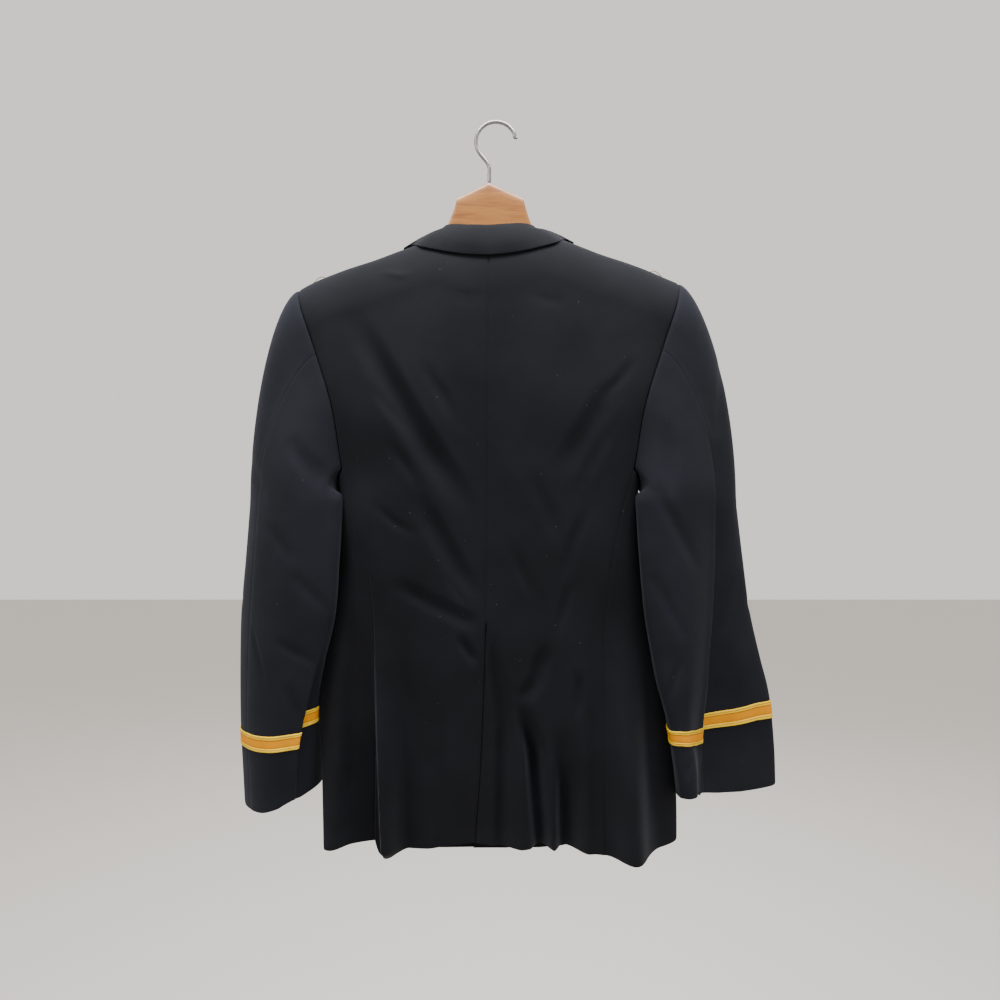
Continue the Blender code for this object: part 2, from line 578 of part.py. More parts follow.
def turned(name, profile, base, mat, sides=20):
    """A piece turned about +Y: profile rows are (radius, distance out)."""
    points, faces = [], []
    for radius, out in profile:
        for k in range(sides):
            turn = 2 * math.pi * k / sides
            points.append(base + np.array((radius * math.cos(turn), out, radius * math.sin(turn))))
    for r in range(len(profile) - 1):
        for k in range(sides):
            j = (k + 1) % sides
            faces.append((r * sides + k, (r + 1) * sides + k, (r + 1) * sides + j, r * sides + j))
    faces.append(tuple(range(sides)))
    faces.append(tuple((len(profile) - 1) * sides + k for k in range(sides))[::-1])
    return add_mesh(name, points, faces, mat)


def build_trim(mats):
    for number, z in enumerate(BUTTONS, 1):
        s = front_station(np.array([CENTRE_X]), np.array([z]))
        face = body_point(s, q_of_z(s, z))[0] + np.array((0, 0.7, 0))
        profile = ((3.0, 0.0), (3.2, 1.6), (BUTTON_RADIUS - 0.6, 1.8), (BUTTON_RADIUS, 2.8),
                   (BUTTON_RADIUS * 0.8, 1.8 + BUTTON_DOME * 0.7), (3.0, 1.8 + BUTTON_DOME))
        turned("button_%d" % number, profile, face, mats["button_%d" % number])
    for half, sign, near in (("left", -1, 203.0), ("right", 1, 200.0)):
        line = []
        for k in range(9):
            t = k / 8
            x = CENTRE_X + sign * (near + LOOP_SPAN * t)
            z = float(hermite(RIDGE, np.array(x))[..., 0])
            line.append((x, 0.0, z + LOOP_RADIUS + 0.35 + LOOP_RISE * math.sin(math.pi * t)))
        tube("strap_loop_" + half, line, LOOP_RADIUS, mats["strap_loop_" + half], sides=6)


def build_hanger(mats):
    # Board: half thickness, top and bottom at places along it.
    rows = [(-228, 6), (-205, 8), (-170, 9), (-130, 9), (-100, 9), (-78, 8)]
    rows += [(-68, 7), (-60, 6.5), (-55.5, 6.5), (-52, 6.5), (-46.5, 6.5), (-28, 6.5), (-6, 6.5), (18, 6.5),
             (36.5, 6.5), (40.5, 6.5), (44, 6.5), (48, 6.5)]
    rows += [(57, 7), (68, 8), (90, 9), (120, 9), (158, 9), (192, 8), (214, 6)]
    plate = ((-60, -152), (-55.5, -122), (-51, -106), (-46.5, -95), (-28, -85), (-6, -76), (18, -85),
             (36.5, -95), (40.5, -106), (44, -122), (48, -150))
    points, faces, sides = [], [], 10
    for x, thick in rows:
        sink = 0.9 + 4.5 * math.exp(-((abs(x - CENTRE_X) - 60) / 13) ** 2)
        ridge = float(hermite(RIDGE, np.array(float(x)))[..., 0]) - CLOTH - sink
        top = float(hermite(plate, np.array(float(x)))[..., 0]) if -60 <= x <= 48 else ridge
        low = -150 - 0.17 * abs(x - CENTRE_X) ** 1.06 - 22
        low = min(low, ridge - 22)
        for k in range(sides):
            turn = 2 * math.pi * (k + 0.5) / sides
            c, s = math.cos(turn), math.sin(turn)
            y = thick * np.sign(c) * abs(c) ** 0.6
            z = (top + low) / 2 + (top - low) / 2 * np.sign(s) * abs(s) ** 0.45
            points.append((x, y, z))
    for r in range(len(rows) - 1):
        for k in range(sides):
            j = (k + 1) % sides
            faces.append((r * sides + k, r * sides + j, (r + 1) * sides + j, (r + 1) * sides + k))
    faces.append(tuple(range(sides))[::-1])
    faces.append(tuple((len(rows) - 1) * sides + k for k in range(sides)))
    add_mesh("hanger_board", points, faces, mats["hanger_board"])
    # Hook: straight shaft, a kink, three quarters of a circle and a turned-out tip.
    top = -HOOK_WIRE
    centre = np.array((2.5, 0.0, top - HOOK_RADIUS))
    line = [(HOOK_SHAFT_X, 0, -75.6), (HOOK_SHAFT_X, 0, -66), (HOOK_SHAFT_X, 0, -58),
            (HOOK_SHAFT_X - 2.5, 0, -52), (HOOK_SHAFT_X - 8, 0, -45)]
    for k in range(19):
        turn = math.radians(214 - k * (214 - 6) / 18)
        line.append(centre + HOOK_RADIUS * np.array((math.cos(turn), 0, math.sin(turn))))
    line.append(centre + np.array((HOOK_RADIUS + 1.8, 0, 0.5)))
    tube("hanger_hook", line, HOOK_WIRE, mats["hanger_hook"], sides=10)


NAVY, GOLD, BRASS = (0.012, 0.014, 0.020), (0.72, 0.38, 0.04), (0.80, 0.58, 0.22)
CLOTH_PIECES = ("back_left", "back_right", "side_left", "side_right", "front_left", "front_right",
                "lapel_left", "lapel_right", "collar", "under_sleeve_left", "top_sleeve_left",
                "under_sleeve_right", "top_sleeve_right")


def main():
    for old in list(bpy.data.objects):
        bpy.data.objects.remove(old, do_unlink=True)
    mats = {name: material(name, NAVY, 0.9) for name in CLOTH_PIECES}
    for half in ("left", "right"):
        mats["braid_" + half] = material("braid_" + half, GOLD, 0.55)
        mats["strap_loop_" + half] = material("strap_loop_" + half, (0.45, 0.42, 0.36), 0.8)
    for number in range(1, len(BUTTONS) + 1):
        mats["button_%d" % number] = material("button_%d" % number, BRASS, 0.3, 1.0)
    mats["hanger_board"] = material("hanger_board", (0.50, 0.28, 0.10), 0.45)
    mats["hanger_hook"] = material("hanger_hook", (0.55, 0.55, 0.55), 0.3, 1.0)
    build_body(mats)
    build_lapels(mats)
    build_collar(mats)
    build_sleeves(mats)
    build_trim(mats)
    build_hanger(mats)


main()
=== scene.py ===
# %% [markdown]
# # A dress uniform jacket on its hanger, seen from the back
#
# The jacket is sewn from flat cloth: two backs, two side bodies, two fronts,
# lapels, a collar and two-piece sleeves. Here each cut piece is one object.
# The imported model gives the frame, and every piece made below lies where its
# plain solid lies. Sizes are worked out in millimetres and turned into metres
# when a mesh is made.

import math

import bpy
import numpy as np
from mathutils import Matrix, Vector


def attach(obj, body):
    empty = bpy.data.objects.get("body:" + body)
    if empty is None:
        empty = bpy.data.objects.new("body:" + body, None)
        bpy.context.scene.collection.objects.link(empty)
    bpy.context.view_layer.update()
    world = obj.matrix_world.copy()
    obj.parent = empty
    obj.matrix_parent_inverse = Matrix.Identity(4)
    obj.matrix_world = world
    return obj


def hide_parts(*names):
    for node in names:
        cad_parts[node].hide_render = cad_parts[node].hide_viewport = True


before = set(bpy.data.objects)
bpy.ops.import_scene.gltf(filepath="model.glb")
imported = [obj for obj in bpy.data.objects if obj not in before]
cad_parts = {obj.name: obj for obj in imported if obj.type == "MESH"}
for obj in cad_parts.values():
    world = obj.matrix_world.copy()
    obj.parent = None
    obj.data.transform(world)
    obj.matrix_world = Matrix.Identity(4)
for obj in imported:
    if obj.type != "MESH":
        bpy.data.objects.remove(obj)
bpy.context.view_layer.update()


# %% Sizes that the whole jacket shares
MM = 0.001
CLOTH = 2.0             # thickness of a cloth wall
CENTRE_X = -6.5         # the jacket's middle, beside the nail
ROLL = 70.0             # height over which the cloth rolls onto the hanger
HEM_BACK, HEM_FRONT = -893.0, -922.0
UNDERARM, UNDERARM_DIP = -436.0, 24.0
VENT_TOP, UNDERLAP, LAP_DROP = -632.0, 16.0, 2.7
TOP_BUTTON_Z, FRONT_LAP = -440.0, 20.0

# %% [markdown]
# ## The shape that the body pieces share
#
# A jacket on a hanger is one closed ring of cloth at each height. The ring
# goes through the centre back, the seams and the sides. One table holds
# a row for each height. Smooth curves between the rows and along the ring
# give every point, so neighbouring pieces meet exactly at their seams. This
# is why the seams need no fitting by eye.

# %% Rings of the body
# The body's rings by height z: x and y of the centre back, then of the left back
# seam, side and front seam, the front's y, x and y of the right front seam, side
# and back seam, and how far the backs bulge.
BODY = (
    (-140, -6, -40, -243, -36, -262, 0, -243, 26, 28, 229, 26, 248, 0, 229, -36, 2),
    (-212, -6, -44, -241, -37, -258, 0, -241, 28, 33, 227, 28, 246, 0, 227, -37, 3),
    (-282, -7, -47, -218, -41, -236, -3, -222, 32, 38, 205, 32, 222, -3, 205, -41, 5),
    (-364, -8, -46, -192, -49, -202, -4, -196, 37, 42, 180, 37, 188, -4, 179, -49, 6),
    (-436, -8, -43, -181, -44, -187, -5, -182, 35, 43, 169, 35, 176, -4, 167, -46, 6),
    (-498, -8, -40, -166, -48, -191.5, -5, -170, 36, 43, 157, 36, 183.5, -4, 150, -48, 3),
    (-554, -9, -38, -150, -46, -194, -6, -166, 36, 42, 153, 36, 187, -4, 140, -47, 2),
    (-609, -10, -36, -145, -40, -200, -8, -165, 36, 42, 152, 36, 192, -5, 133, -44, 2),
    (-697, -13, -33, -145, -28, -215, -10, -172, 36, 41, 159, 36, 207, -6, 131, -42, 3),
    (-810, -18, -27, -146, -14, -210, -20, -178, 32, 40, 168, 32, 224, -9, 132, -46, 5),
    (-893, -24, -20, -148, -6, -206, -30, -178, 27, 38, 170, 27, 225, -14, 133, -50, 5),
    (-940, -26, -18, -148, -4, -205, -32, -178, 26, 37, 170, 26, 224, -15, 133, -52, 5),
)

def hermite(rows, at):
    """Smooth curves through the rows, whose first column is the place on each."""
    rows = np.array(sorted(rows), dtype=float)
    place, value = rows[:, 0], rows[:, 1:]
    slope = np.gradient(value, place, axis=0)
    at = np.asarray(at, dtype=float)
    i = np.clip(np.searchsorted(place, at) - 1, 0, len(place) - 2)
    wide = (place[i + 1] - place[i])[..., None]
    t = ((np.clip(at, place[0], place[-1]) - place[i])[..., None]) / wide
    a, b = value[i], value[i + 1]
    ma, mb = slope[i] * wide, slope[i + 1] * wide
    return (a * (2 * t**3 - 3 * t**2 + 1) + ma * (t**3 - 2 * t**2 + t)
            + b * (3 * t**2 - 2 * t**3) + mb * (t**3 - t**2))


def round_ring(points, s):
    """A closed smooth curve through a list of point arrays, at ring stations s."""
    count = len(points)
    stack = np.stack(points)
    i = np.floor(s).astype(int)
    t = (s - i)[..., None]
    pick = [np.take_along_axis(stack, np.broadcast_to(((i + k) % count)[None, ..., None],
            (1,) + s.shape + (stack.shape[-1],)), 0)[0] for k in (-1, 0, 1, 2)]
    before, a, b, after = pick
    return 0.5 * (2 * a + (b - before) * t + (2 * before - 5 * a + 4 * b - after) * t**2
                  + (3 * a - before - 3 * b + after) * t**3)

print("body rings:", len(BODY), "heights,", len(BODY[0]), "columns")

# %% [markdown]
# ## Folds
#
# Cloth that hangs from two points makes folds that run between them. Each
# fold here is a soft trough or ridge along a bent line, with its own depth,
# a width on each side, and a share of its length over which it grows. The
# large folds are the ones that the plain solids have too.

# %% Large folds
# Folds: a line through three points, how far in (+) or out (-), and the width
# on each side of the line; fade is the share of its length over which it grows.
BACK_FOLDS = (
    (-177, -235, -97, -378, -22, -497, 9, 24, 20, 0.45, 0.35),
    (-100, -449, -62, -520, -19, -598, 5, 20, 16, 0.40, 0.30),
    (-124, -568, -75, -596, -14, -626, 3.6, 15, 13, 0.30, 0.20),
    (-43, -634, -32, -652, -19, -673, 4, 10, 9, 0.40, 0.40),
    (-6, -626, 10, -747, 8, -895, 7, 10, 16, 0.25, 0.00),
    (-141, -590, -138, -740, -134, -895, -38, 8.5, 30, 0.90, 0.00),
    (24, -690, 32, -780, 34, -895, -5, 16, 12, 0.50, 0.00),
    (29, -712, 46, -775, 56, -895, 22, 13, 19, 0.45, 0.00),
    (80, -740, 84, -820, 85, -895, 24, 14, 30, 0.70, 0.00),
    (31, -718, 50, -690, 63, -642, 5, 17, 12, 0.30, 0.40),
    (102, -672, 102, -705, 101, -740, 3, 9, 9, 0.40, 0.40),
    (151, -322, 112, -390, 73, -452, 4, 22, 22, 0.40, 0.40),
    (150, -600, 158, -760, 166, -895, -36, 34, 36, 0.90, 0.00),
    (-184, -590, -190, -700, -194, -895, -9, 18, 20, 0.50, 0.00),
)
FRONT_FOLDS = (
    (-60, -470, -95, -560, -120, -680, 6, 22, 22, 0.40, 0.40),
    (62, -480, 92, -570, 118, -660, 5, 22, 22, 0.40, 0.40),
    (-110, -720, -104, -810, -98, -930, 6, 26, 26, 0.60, 0.00),
    (104, -700, 98, -800, 92, -930, 6, 26, 26, 0.60, 0.00),
)


def ramp(value):
    value = np.clip(value, 0.0, 1.0)
    return value * value * (3 - 2 * value)


def fold_push(x, z, folds):
    """How far all the folds move the cloth at (x, z), inwards."""
    push = np.zeros_like(x)
    for x0, z0, x1, z1, x2, z2, depth, west, east, fade0, fade1 in folds:
        ends = np.array(((x0, z0), (x1, z1), (x2, z2)), dtype=float)
        long = np.linalg.norm(np.diff(ends, axis=0), axis=1)
        best = np.full_like(x, 1e9)
        along = np.zeros_like(x)
        side = np.zeros_like(x)
        for k in (0, 1):
            start, run = ends[k], ends[k + 1] - ends[k]
            t = ((x - start[0]) * run[0] + (z - start[1]) * run[1]) / (run @ run)
            t = np.clip(t, 0, 1)
            dx, dz = x - start[0] - t * run[0], z - start[1] - t * run[1]
            far = np.hypot(dx, dz)
            near = far < best
            best = np.where(near, far, best)
            side = np.where(near, dx * -run[1] + dz * run[0], side)
            along = np.where(near, (long[:k].sum() + t * long[k]) / long.sum(), along)
        wide = np.where(side > 0, east, west)
        shape = np.cos(np.clip(best / wide, 0, 1) * math.pi / 2) ** 2
        grow = ramp(along / fade0) if fade0 else 1.0
        end = ramp((1 - along) / fade1) if fade1 else 1.0
        push += depth * shape * grow * end
    return push


# %% Small creases that only show close up
SMALL_BACK = (
    (-92, -300, -60, -350, -40, -395, 2.0, 12, 12),
    (-150, -330, -120, -372, -100, -398, 2.2, 9, 9),
    (-132, -395, -104, -432, -84, -470, 2.0, 10, 10),
    (-150, -470, -118, -500, -84, -520, 1.8, 9, 9),
    (-60, -556, -44, -586, -26, -606, 1.2, 8, 8, 0.4, 0.4),
    (-108, -640, -104, -700, -96, -770, 2.2, 12, 12),
    (-70, -700, -66, -780, -60, -893, 2.6, 16, 16, 0.5, 0.0),
    (-88, -760, -84, -820, -80, -893, -2.0, 12, 12, 0.5, 0.0),
    (40, -430, 62, -480, 80, -540, 1.8, 14, 14),
    (20, -520, 34, -560, 52, -600, 1.8, 12, 12),
    (118, -470, 96, -520, 82, -575, 2.0, 12, 12),
    (96, -560, 82, -610, 74, -650, 2.0, 10, 10),
    (60, -858, 68, -861, 77, -858, 1.6, 3, 3, 0.4, 0.4),
    (53, -872, 66, -876, 80, -872, 1.8, 3, 3, 0.4, 0.4),
    (118, -700, 120, -790, 122, -893, 2.6, 12, 12, 0.5, 0.0),
    (188, -640, 186, -760, 184, -893, 3.0, 12, 12, 0.6, 0.0),
    (-168, -560, -172, -640, -176, -720, 2.0, 9, 9),
    (-52, -220, -30, -232, -8, -228, 0.7, 10, 10, 0.4, 0.4),
    (34, -224, 60, -233, 92, -240, 0.7, 10, 10, 0.4, 0.4),
    (-140, -198, -112, -204, -96, -203, -1.6, 5, 5, 0.4, 0.4),
    (150, -360, 120, -420, 96, -470, 2.0, 14, 14),
    (172, -300, 150, -330, 120, -360, 1.8, 10, 10),
)
SMALL_FRONT = (
    (-190, -300, -150, -350, -120, -380, 2.2, 12, 12),
    (-170, -440, -130, -480, -60, -500, 2.4, 14, 14, 0.5, 0.4),
    (-150, -560, -90, -580, -30, -560, 2.0, 12, 12),
    (160, -320, 130, -370, 100, -400, 2.0, 12, 12),
    (150, -450, 100, -490, 40, -500, 2.4, 14, 14, 0.5, 0.4),
    (140, -600, 90, -640, 60, -700, 2.0, 14, 14),
    (-60, -660, -56, -760, -50, -900, 2.4, 16, 16, 0.5, 0.1),
    (48, -660, 52, -760, 56, -900, 2.4, 16, 16, 0.5, 0.1),
)
EVEN_FADE = (0.5, 0.5)   # most small creases grow from both ends to their middle
BACK_FOLDS += tuple((row + EVEN_FADE)[:11] for row in SMALL_BACK)
FRONT_FOLDS += tuple((row + EVEN_FADE)[:11] for row in SMALL_FRONT)
print("folds:", len(BACK_FOLDS), "on the back,", len(FRONT_FOLDS), "on the fronts")

# %% [markdown]
# ## The outer face of the body
#
# Up to the shoulders the cloth hangs nearly straight. Over the last stretch
# it rolls in a quarter oval onto the hanger's ridge. The neck is cut out of
# the ridge as a shallow curve behind the hanger's plate.

# %% Body surface
# The top line of the shoulders on the hanger, from the left tip to the right.
RIDGE = ((-262, -222), (-241, -212), (-230, -206), (-187, -188), (-145, -174),
         (-113, -162), (-90, -154), (-68, -147), (56, -141), (78, -147), (100, -155),
         (131, -167), (170, -180), (191, -188), (212, -197), (227, -203), (248, -212))
NECK_HALF, NECK_DEEP, NECK_DROP = 62.0, 26.0, 23.0


def body_ring(s, z):
    """The body's ring before folds: x and y at ring station s (0 back, 6 front)."""
    cx, cy, lbx, lby, lsx, lsy, lfx, lfy, fy, rfx, rfy, rsx, rsy, rbx, rby, bulge = (
        np.moveaxis(hermite(BODY, z), -1, 0))
    front_x = np.full_like(cx, CENTRE_X)
    points = [(cx, cy), ((cx + lbx) / 2, (cy + lby) / 2 - bulge), (lbx, lby), (lsx, lsy),
              (lfx, lfy), ((lfx + front_x) / 2, (lfy + fy) / 2 + bulge / 2), (front_x, fy),
              ((rfx + front_x) / 2, (rfy + fy) / 2 + bulge / 2), (rfx, rfy), (rsx, rsy),
              (rbx, rby), ((cx + rbx) / 2, (cy + rby) / 2 - bulge)]
    ring = round_ring([np.stack(p, -1) for p in points], s)
    return ring[..., 0], ring[..., 1]


# How far the back's hem sags below its level, in mm, at ring stations.
HEM_SAG = ((0, 0), (0.4, 4), (0.9, 8), (1.3, 9), (1.55, 14), (1.72, 22), (1.86, 23), (1.94, 17),
           (2.0, 3), (3, 2), (3.6, 0), (8.4, 0), (9.0, -2), (9.6, 3), (9.9, 2), (10.4, 0),
           (11.2, 0), (11.6, 2), (12, 0))


def hem_z(s):
    """The hem is level at the back and drops towards the front's middle."""
    level = HEM_BACK + (HEM_FRONT - HEM_BACK) * ramp(1.5 - np.abs(s - 6) / 1.35)
    return level - np.interp(s, *zip(*HEM_SAG))


def top_line(x, back):
    """Height and depth of the shoulder ridge, or of the back neck between them."""
    ridge = hermite(RIDGE, x)[..., 0]
    inside = np.clip(1 - (np.abs(x - CENTRE_X) / NECK_HALF) ** 2.2, 0, 1)
    return ridge - NECK_DROP * inside * back, -NECK_DEEP * inside * back


def body_point(s, q):
    """Outer face of the body: q runs 0 at the hem, 1 where the roll starts, 2 on top."""
    s, q = np.broadcast_arrays(np.asarray(s, float), np.asarray(q, float))
    back = (np.abs(s - 6) > 3).astype(float)
    x = body_ring(s, np.full_like(s, -180.0))[0]
    for _ in range(4):
        top_z, top_y = top_line(x, back)
        low = top_z - ROLL
        phi = np.clip(q - 1, 0, 1.2) * math.pi / 2
        z = np.where(q < 1, hem_z(s) + (low - hem_z(s)) * q, low + ROLL * np.sin(phi))
        x = body_ring(s, z)[0]
    y_here = body_ring(s, np.where(q < 1, z, low))[1]
    roll_y = top_y + (y_here - top_y) * np.cos(phi)
    y = np.where(q < 1, y_here, roll_y)
    ease = ramp((2 - q) / 0.8)
    push = np.where(back > 0, fold_push(x, z, BACK_FOLDS), -fold_push(x, z, FRONT_FOLDS)) * ease
    return np.stack((x, y + push, z), -1)


def q_of_z(s, z):
    """The q that puts station s at height z, on the straight part or in the roll."""
    s, z = np.broadcast_arrays(np.asarray(s, float), np.asarray(z, float))
    x = body_ring(s, z)[0]
    back = (np.abs(s - 6) > 3).astype(float)
    low = top_line(x, back)[0] - ROLL
    straight = (z - hem_z(s)) / (low - hem_z(s))
    roll = 1 + np.arcsin(np.clip((z - low) / ROLL, -1, 1)) * 2 / math.pi
    return np.where(z < low, straight, roll)


def normals(surface, s, q, ds=0.02, dq=0.004):
    """Unit normals of a surface, pointing out."""
    along = surface(s + ds, q) - surface(s - ds, q)
    up = surface(s, q + dq) - surface(s, q - dq)
    normal = np.cross(up, along)
    return normal / np.maximum(np.linalg.norm(normal, axis=-1, keepdims=True), 1e-9)


print("shoulder line from x", RIDGE[0][0], "to", RIDGE[-1][0], "mm")

# %% Inner edges of the fronts, and finding a place on the body
def break_line(z, half):
    """Inner edge of a front: neck, then the lapel's roll, then the lapped edge."""
    rows = ((-950, FRONT_LAP), (-460, FRONT_LAP), (TOP_BUTTON_Z, FRONT_LAP - 2), (-300, -14),
            (-200, -43), (-170, -55), (-140, -61))
    return CENTRE_X + (1 if half == "left" else -1) * hermite(rows, z)[..., 0]


def back_station(x, z):
    """Ring station of the back at (x, z)."""
    row = hermite(BODY, z)
    cx, left, right = row[..., 0], row[..., 2], row[..., 13]
    s = np.where(x < cx, 2 * (cx - x) / (cx - left), 12 - 2 * (x - cx) / (right - cx))
    for _ in range(3):
        miss = x - body_ring(s, z)[0]
        s = s - miss / 70
    return s


def front_station(x, z):
    """Ring station of the front at (x, z)."""
    row = hermite(BODY, z)
    left, right = row[..., 6], row[..., 9]
    s = np.where(x < CENTRE_X, 6 - 2 * (CENTRE_X - x) / (CENTRE_X - left),
                 6 + 2 * (x - CENTRE_X) / (right - CENTRE_X))
    for _ in range(3):
        s = s + (x - body_ring(s, z)[0]) / 85
    return s


def body_height(s, q):
    return body_point(s, q)[..., 2]


def lapped(s, q, edge_x, reach=5.0):
    """Body surface moved in where a piece passes under its neighbour's edge."""
    base = body_point(s, q)
    drop = LAP_DROP * ramp((edge_x(base[..., 2]) + reach - base[..., 0]) / 4.5)
    return base - normals(body_point, s, q) * drop[..., None]


def vent_edge(z):
    """The left back's edge along the vent; far away above the vent."""
    return hermite(BODY, z)[..., 0] - 400 * (z > VENT_TOP + 8)


def left_front_edge(z):
    return break_line(z, "left")

# %% [markdown]
# ## A wall of cloth
#
# A cut piece becomes a thin closed wall: a fine grid of its outer face, the
# same grid moved in by the cloth's thickness, and the raw edges between. At
# a sewn edge real cloth turns inward over the seam allowance, so the last
# two millimetres sink a little. That thin groove is what makes a seam show.

# %% Grid spacing and the wall itself
SEAM_DEEP, SEAM_REACH = 0.9, 1.5         # mm that a sewn edge sinks, and from how far


def spaced(count, start=0.0, end=1.0):
    """Even steps, with close ones at both ends where a seam rounds over."""
    near = np.array((0, .25, .55, 1.0)) * 4.5 / count / 3
    steps = np.concatenate((near, np.linspace(near[-1], 1 - near[-1], count)[1:-1], 1 - near[::-1]))
    return start + (end - start) * steps


def rows_and_arcs(grid):
    down = np.concatenate((np.zeros((1, grid.shape[1])),
                           np.cumsum(np.linalg.norm(np.diff(grid, axis=0), axis=-1), axis=0)))
    across = np.concatenate((np.zeros((grid.shape[0], 1)),
                             np.cumsum(np.linalg.norm(np.diff(grid, axis=1), axis=-1), axis=1)), 1)
    return down, across


def sink_seams(grid, normal, edges, deep=SEAM_DEEP):
    """Round the sewn edges in; edges are flags for first and last row, first and last column."""
    down, across = rows_and_arcs(grid)
    sink = np.zeros(grid.shape[:2])
    for flag, far in zip(edges, (down, down[-1:] - down, across, across[:, -1:] - across)):
        if flag:
            sink += flag * deep * np.exp(-(far / SEAM_REACH) ** 2)
    return grid - normal * np.minimum(sink, deep * 1.2)[..., None]


def skin(name, outer, normal, thick=CLOTH, closed=False, sewn=(0, 0, 0, 0)):
    """A closed wall from a grid of points; uv holds metres along and across the piece."""
    outer, normal = np.array(outer, dtype=float), np.array(normal)
    sewn = list(sewn)
    facing = np.cross(outer[1:, :-1] - outer[:-1, :-1], outer[:-1, 1:] - outer[:-1, :-1])
    if (facing * normal[:-1, :-1]).sum() < 0:
        outer, normal = outer[:, ::-1].copy(), normal[:, ::-1]
        sewn[2], sewn[3] = sewn[3], sewn[2]
    down, across = rows_and_arcs(outer)
    outer = sink_seams(outer, normal, sewn)
    inner = outer - normal * thick
    rows, cols = outer.shape[:2]
    half = rows * cols
    index = np.arange(half).reshape(rows, cols)
    nxt = np.roll(index, -1, axis=1) if closed else None
    a, b = (index, nxt) if closed else (index[:, :-1], index[:, 1:])
    quads = [np.stack((a[:-1], a[1:], b[1:], b[:-1]), -1).reshape(-1, 4),
             half + np.stack((a[:-1], b[:-1], b[1:], a[1:]), -1).reshape(-1, 4),
             np.stack((a[0], b[0], half + b[0], half + a[0]), -1),
             np.stack((a[-1], half + a[-1], half + b[-1], b[-1]), -1)]
    if not closed:
        quads.append(np.stack((index[:-1, 0], half + index[:-1, 0], half + index[1:, 0],
                               index[1:, 0]), -1))
        quads.append(np.stack((index[:-1, -1], index[1:, -1], half + index[1:, -1],
                               half + index[:-1, -1]), -1))
    points = np.concatenate((outer.reshape(-1, 3), inner.reshape(-1, 3))) * MM
    faces = np.concatenate(quads)
    mesh = bpy.data.meshes.new(name)
    mesh.vertices.add(len(points))
    mesh.vertices.foreach_set("co", points.ravel())
    mesh.loops.add(faces.size)
    mesh.loops.foreach_set("vertex_index", faces.ravel())
    mesh.polygons.add(len(faces))
    mesh.polygons.foreach_set("loop_start", np.arange(0, faces.size, 4))
    mesh.update(calc_edges=True)
    uv = np.concatenate((np.stack((across, down), -1).reshape(-1, 2),) * 2) * MM
    layer = mesh.uv_layers.new(name="cloth")
    layer.data.foreach_set("uv", uv[faces.ravel()].ravel())
    piece = bpy.data.objects.new(name, mesh)
    bpy.context.collection.objects.link(piece)
    mesh.shade_smooth()
    mesh.set_sharp_from_angle(angle=math.radians(60))
    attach(piece, "root")
    return piece


def declare_cloth(piece, outer):
    """Say what flat size the piece was cut to: its widest row, longest column and area."""
    down, across = rows_and_arcs(np.array(outer))
    width, length = across[:, -1].max() * MM, down[-1].max() * MM
    d1 = outer[1:, 1:] - outer[:-1, :-1]
    d2 = outer[1:, :-1] - outer[:-1, 1:]
    area = 0.5 * np.linalg.norm(np.cross(d1, d2), axis=-1).sum() * MM * MM
    area = min(max(area, 0.301 * width * length), width * length)
    print("%-20s flat %4.0f x %4.0f mm, %.4f m2" % (piece.name, width / MM, length / MM, area))


def cut_piece(name, stands_for, outer, normal, wool, sewn):
    """One cut piece of cloth, shown in place of its plain solid."""
    piece = skin(name, outer, normal, sewn=sewn)
    piece.data.materials.append(wool)
    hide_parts(stands_for)
    declare_cloth(piece, outer)


print("cloth", CLOTH, "mm thick; seams sink", SEAM_DEEP, "mm")

# %% [markdown]
# ## Finishes
#
# The wool is a near-black navy. Fine wool scatters light a little at
# grazing angles, so its shader has some sheen. A fine twill rib and a soft
# nap go into the bump, and a few pale specks of lint lie on it. Values that
# are the same all over sit on the shader's own sockets. The sleeves' copy is
# lighter than the body's. The cloth is the same, so the body's darker copy is painted shade.

# %% A small helper for shader nodes
def finish(name, color, rough, **sockets):
    mat = bpy.data.materials.new(name)
    mat.use_nodes = True
    shader = mat.node_tree.nodes["Principled BSDF"]
    shader.inputs["Base Color"].default_value = (*color, 1)
    shader.inputs["Roughness"].default_value = rough
    for key, value in sockets.items():
        shader.inputs[key.replace("_", " ")].default_value = value
    return mat, mat.node_tree, shader


def node(tree, kind, **settings):
    made = tree.nodes.new(kind)
    for key, value in settings.items():
        if key in made.inputs:
            made.inputs[key].default_value = value
        elif hasattr(made, key):
            setattr(made, key, value)
        else:
            made.inputs[key.replace("_", " ")].default_value = value
    return made


def texture(tree, kind, where, **settings):
    """A texture node that reads its place from the socket where."""
    made = node(tree, "ShaderNodeTex" + kind, **settings)
    tree.links.new(where, made.inputs["Vector"])
    return made


def combined(tree, operation, first, second):
    """The sum or product of two sockets, or of a socket and a number."""
    made = node(tree, "ShaderNodeMath", operation=operation)
    tree.links.new(first, made.inputs[0])
    if isinstance(second, float):
        made.inputs[1].default_value = second
    else:
        tree.links.new(second, made.inputs[1])
    return made.outputs[0]


def color_steps(tree, factor, *stops):
    ramp_node = tree.nodes.new("ShaderNodeValToRGB")
    ends = ramp_node.color_ramp.elements
    while len(ends) < len(stops):
        ends.new(0.5)
    for end, (place, color) in zip(ends, stops):
        end.position, end.color = place, (*color, 1)
    tree.links.new(factor, ramp_node.inputs["Fac"])
    return ramp_node.outputs["Color"]


def bumped(tree, shader, *layers):
    """Chain bump layers: (height socket, distance in metres, strength)."""
    last = None
    for height, distance, strength in layers:
        bump = node(tree, "ShaderNodeBump", Distance=distance, Strength=strength)
        tree.links.new(height, bump.inputs["Height"])
        if last:
            tree.links.new(last, bump.inputs["Normal"])
        last = bump.outputs["Normal"]
    tree.links.new(last, shader.inputs["Normal"])


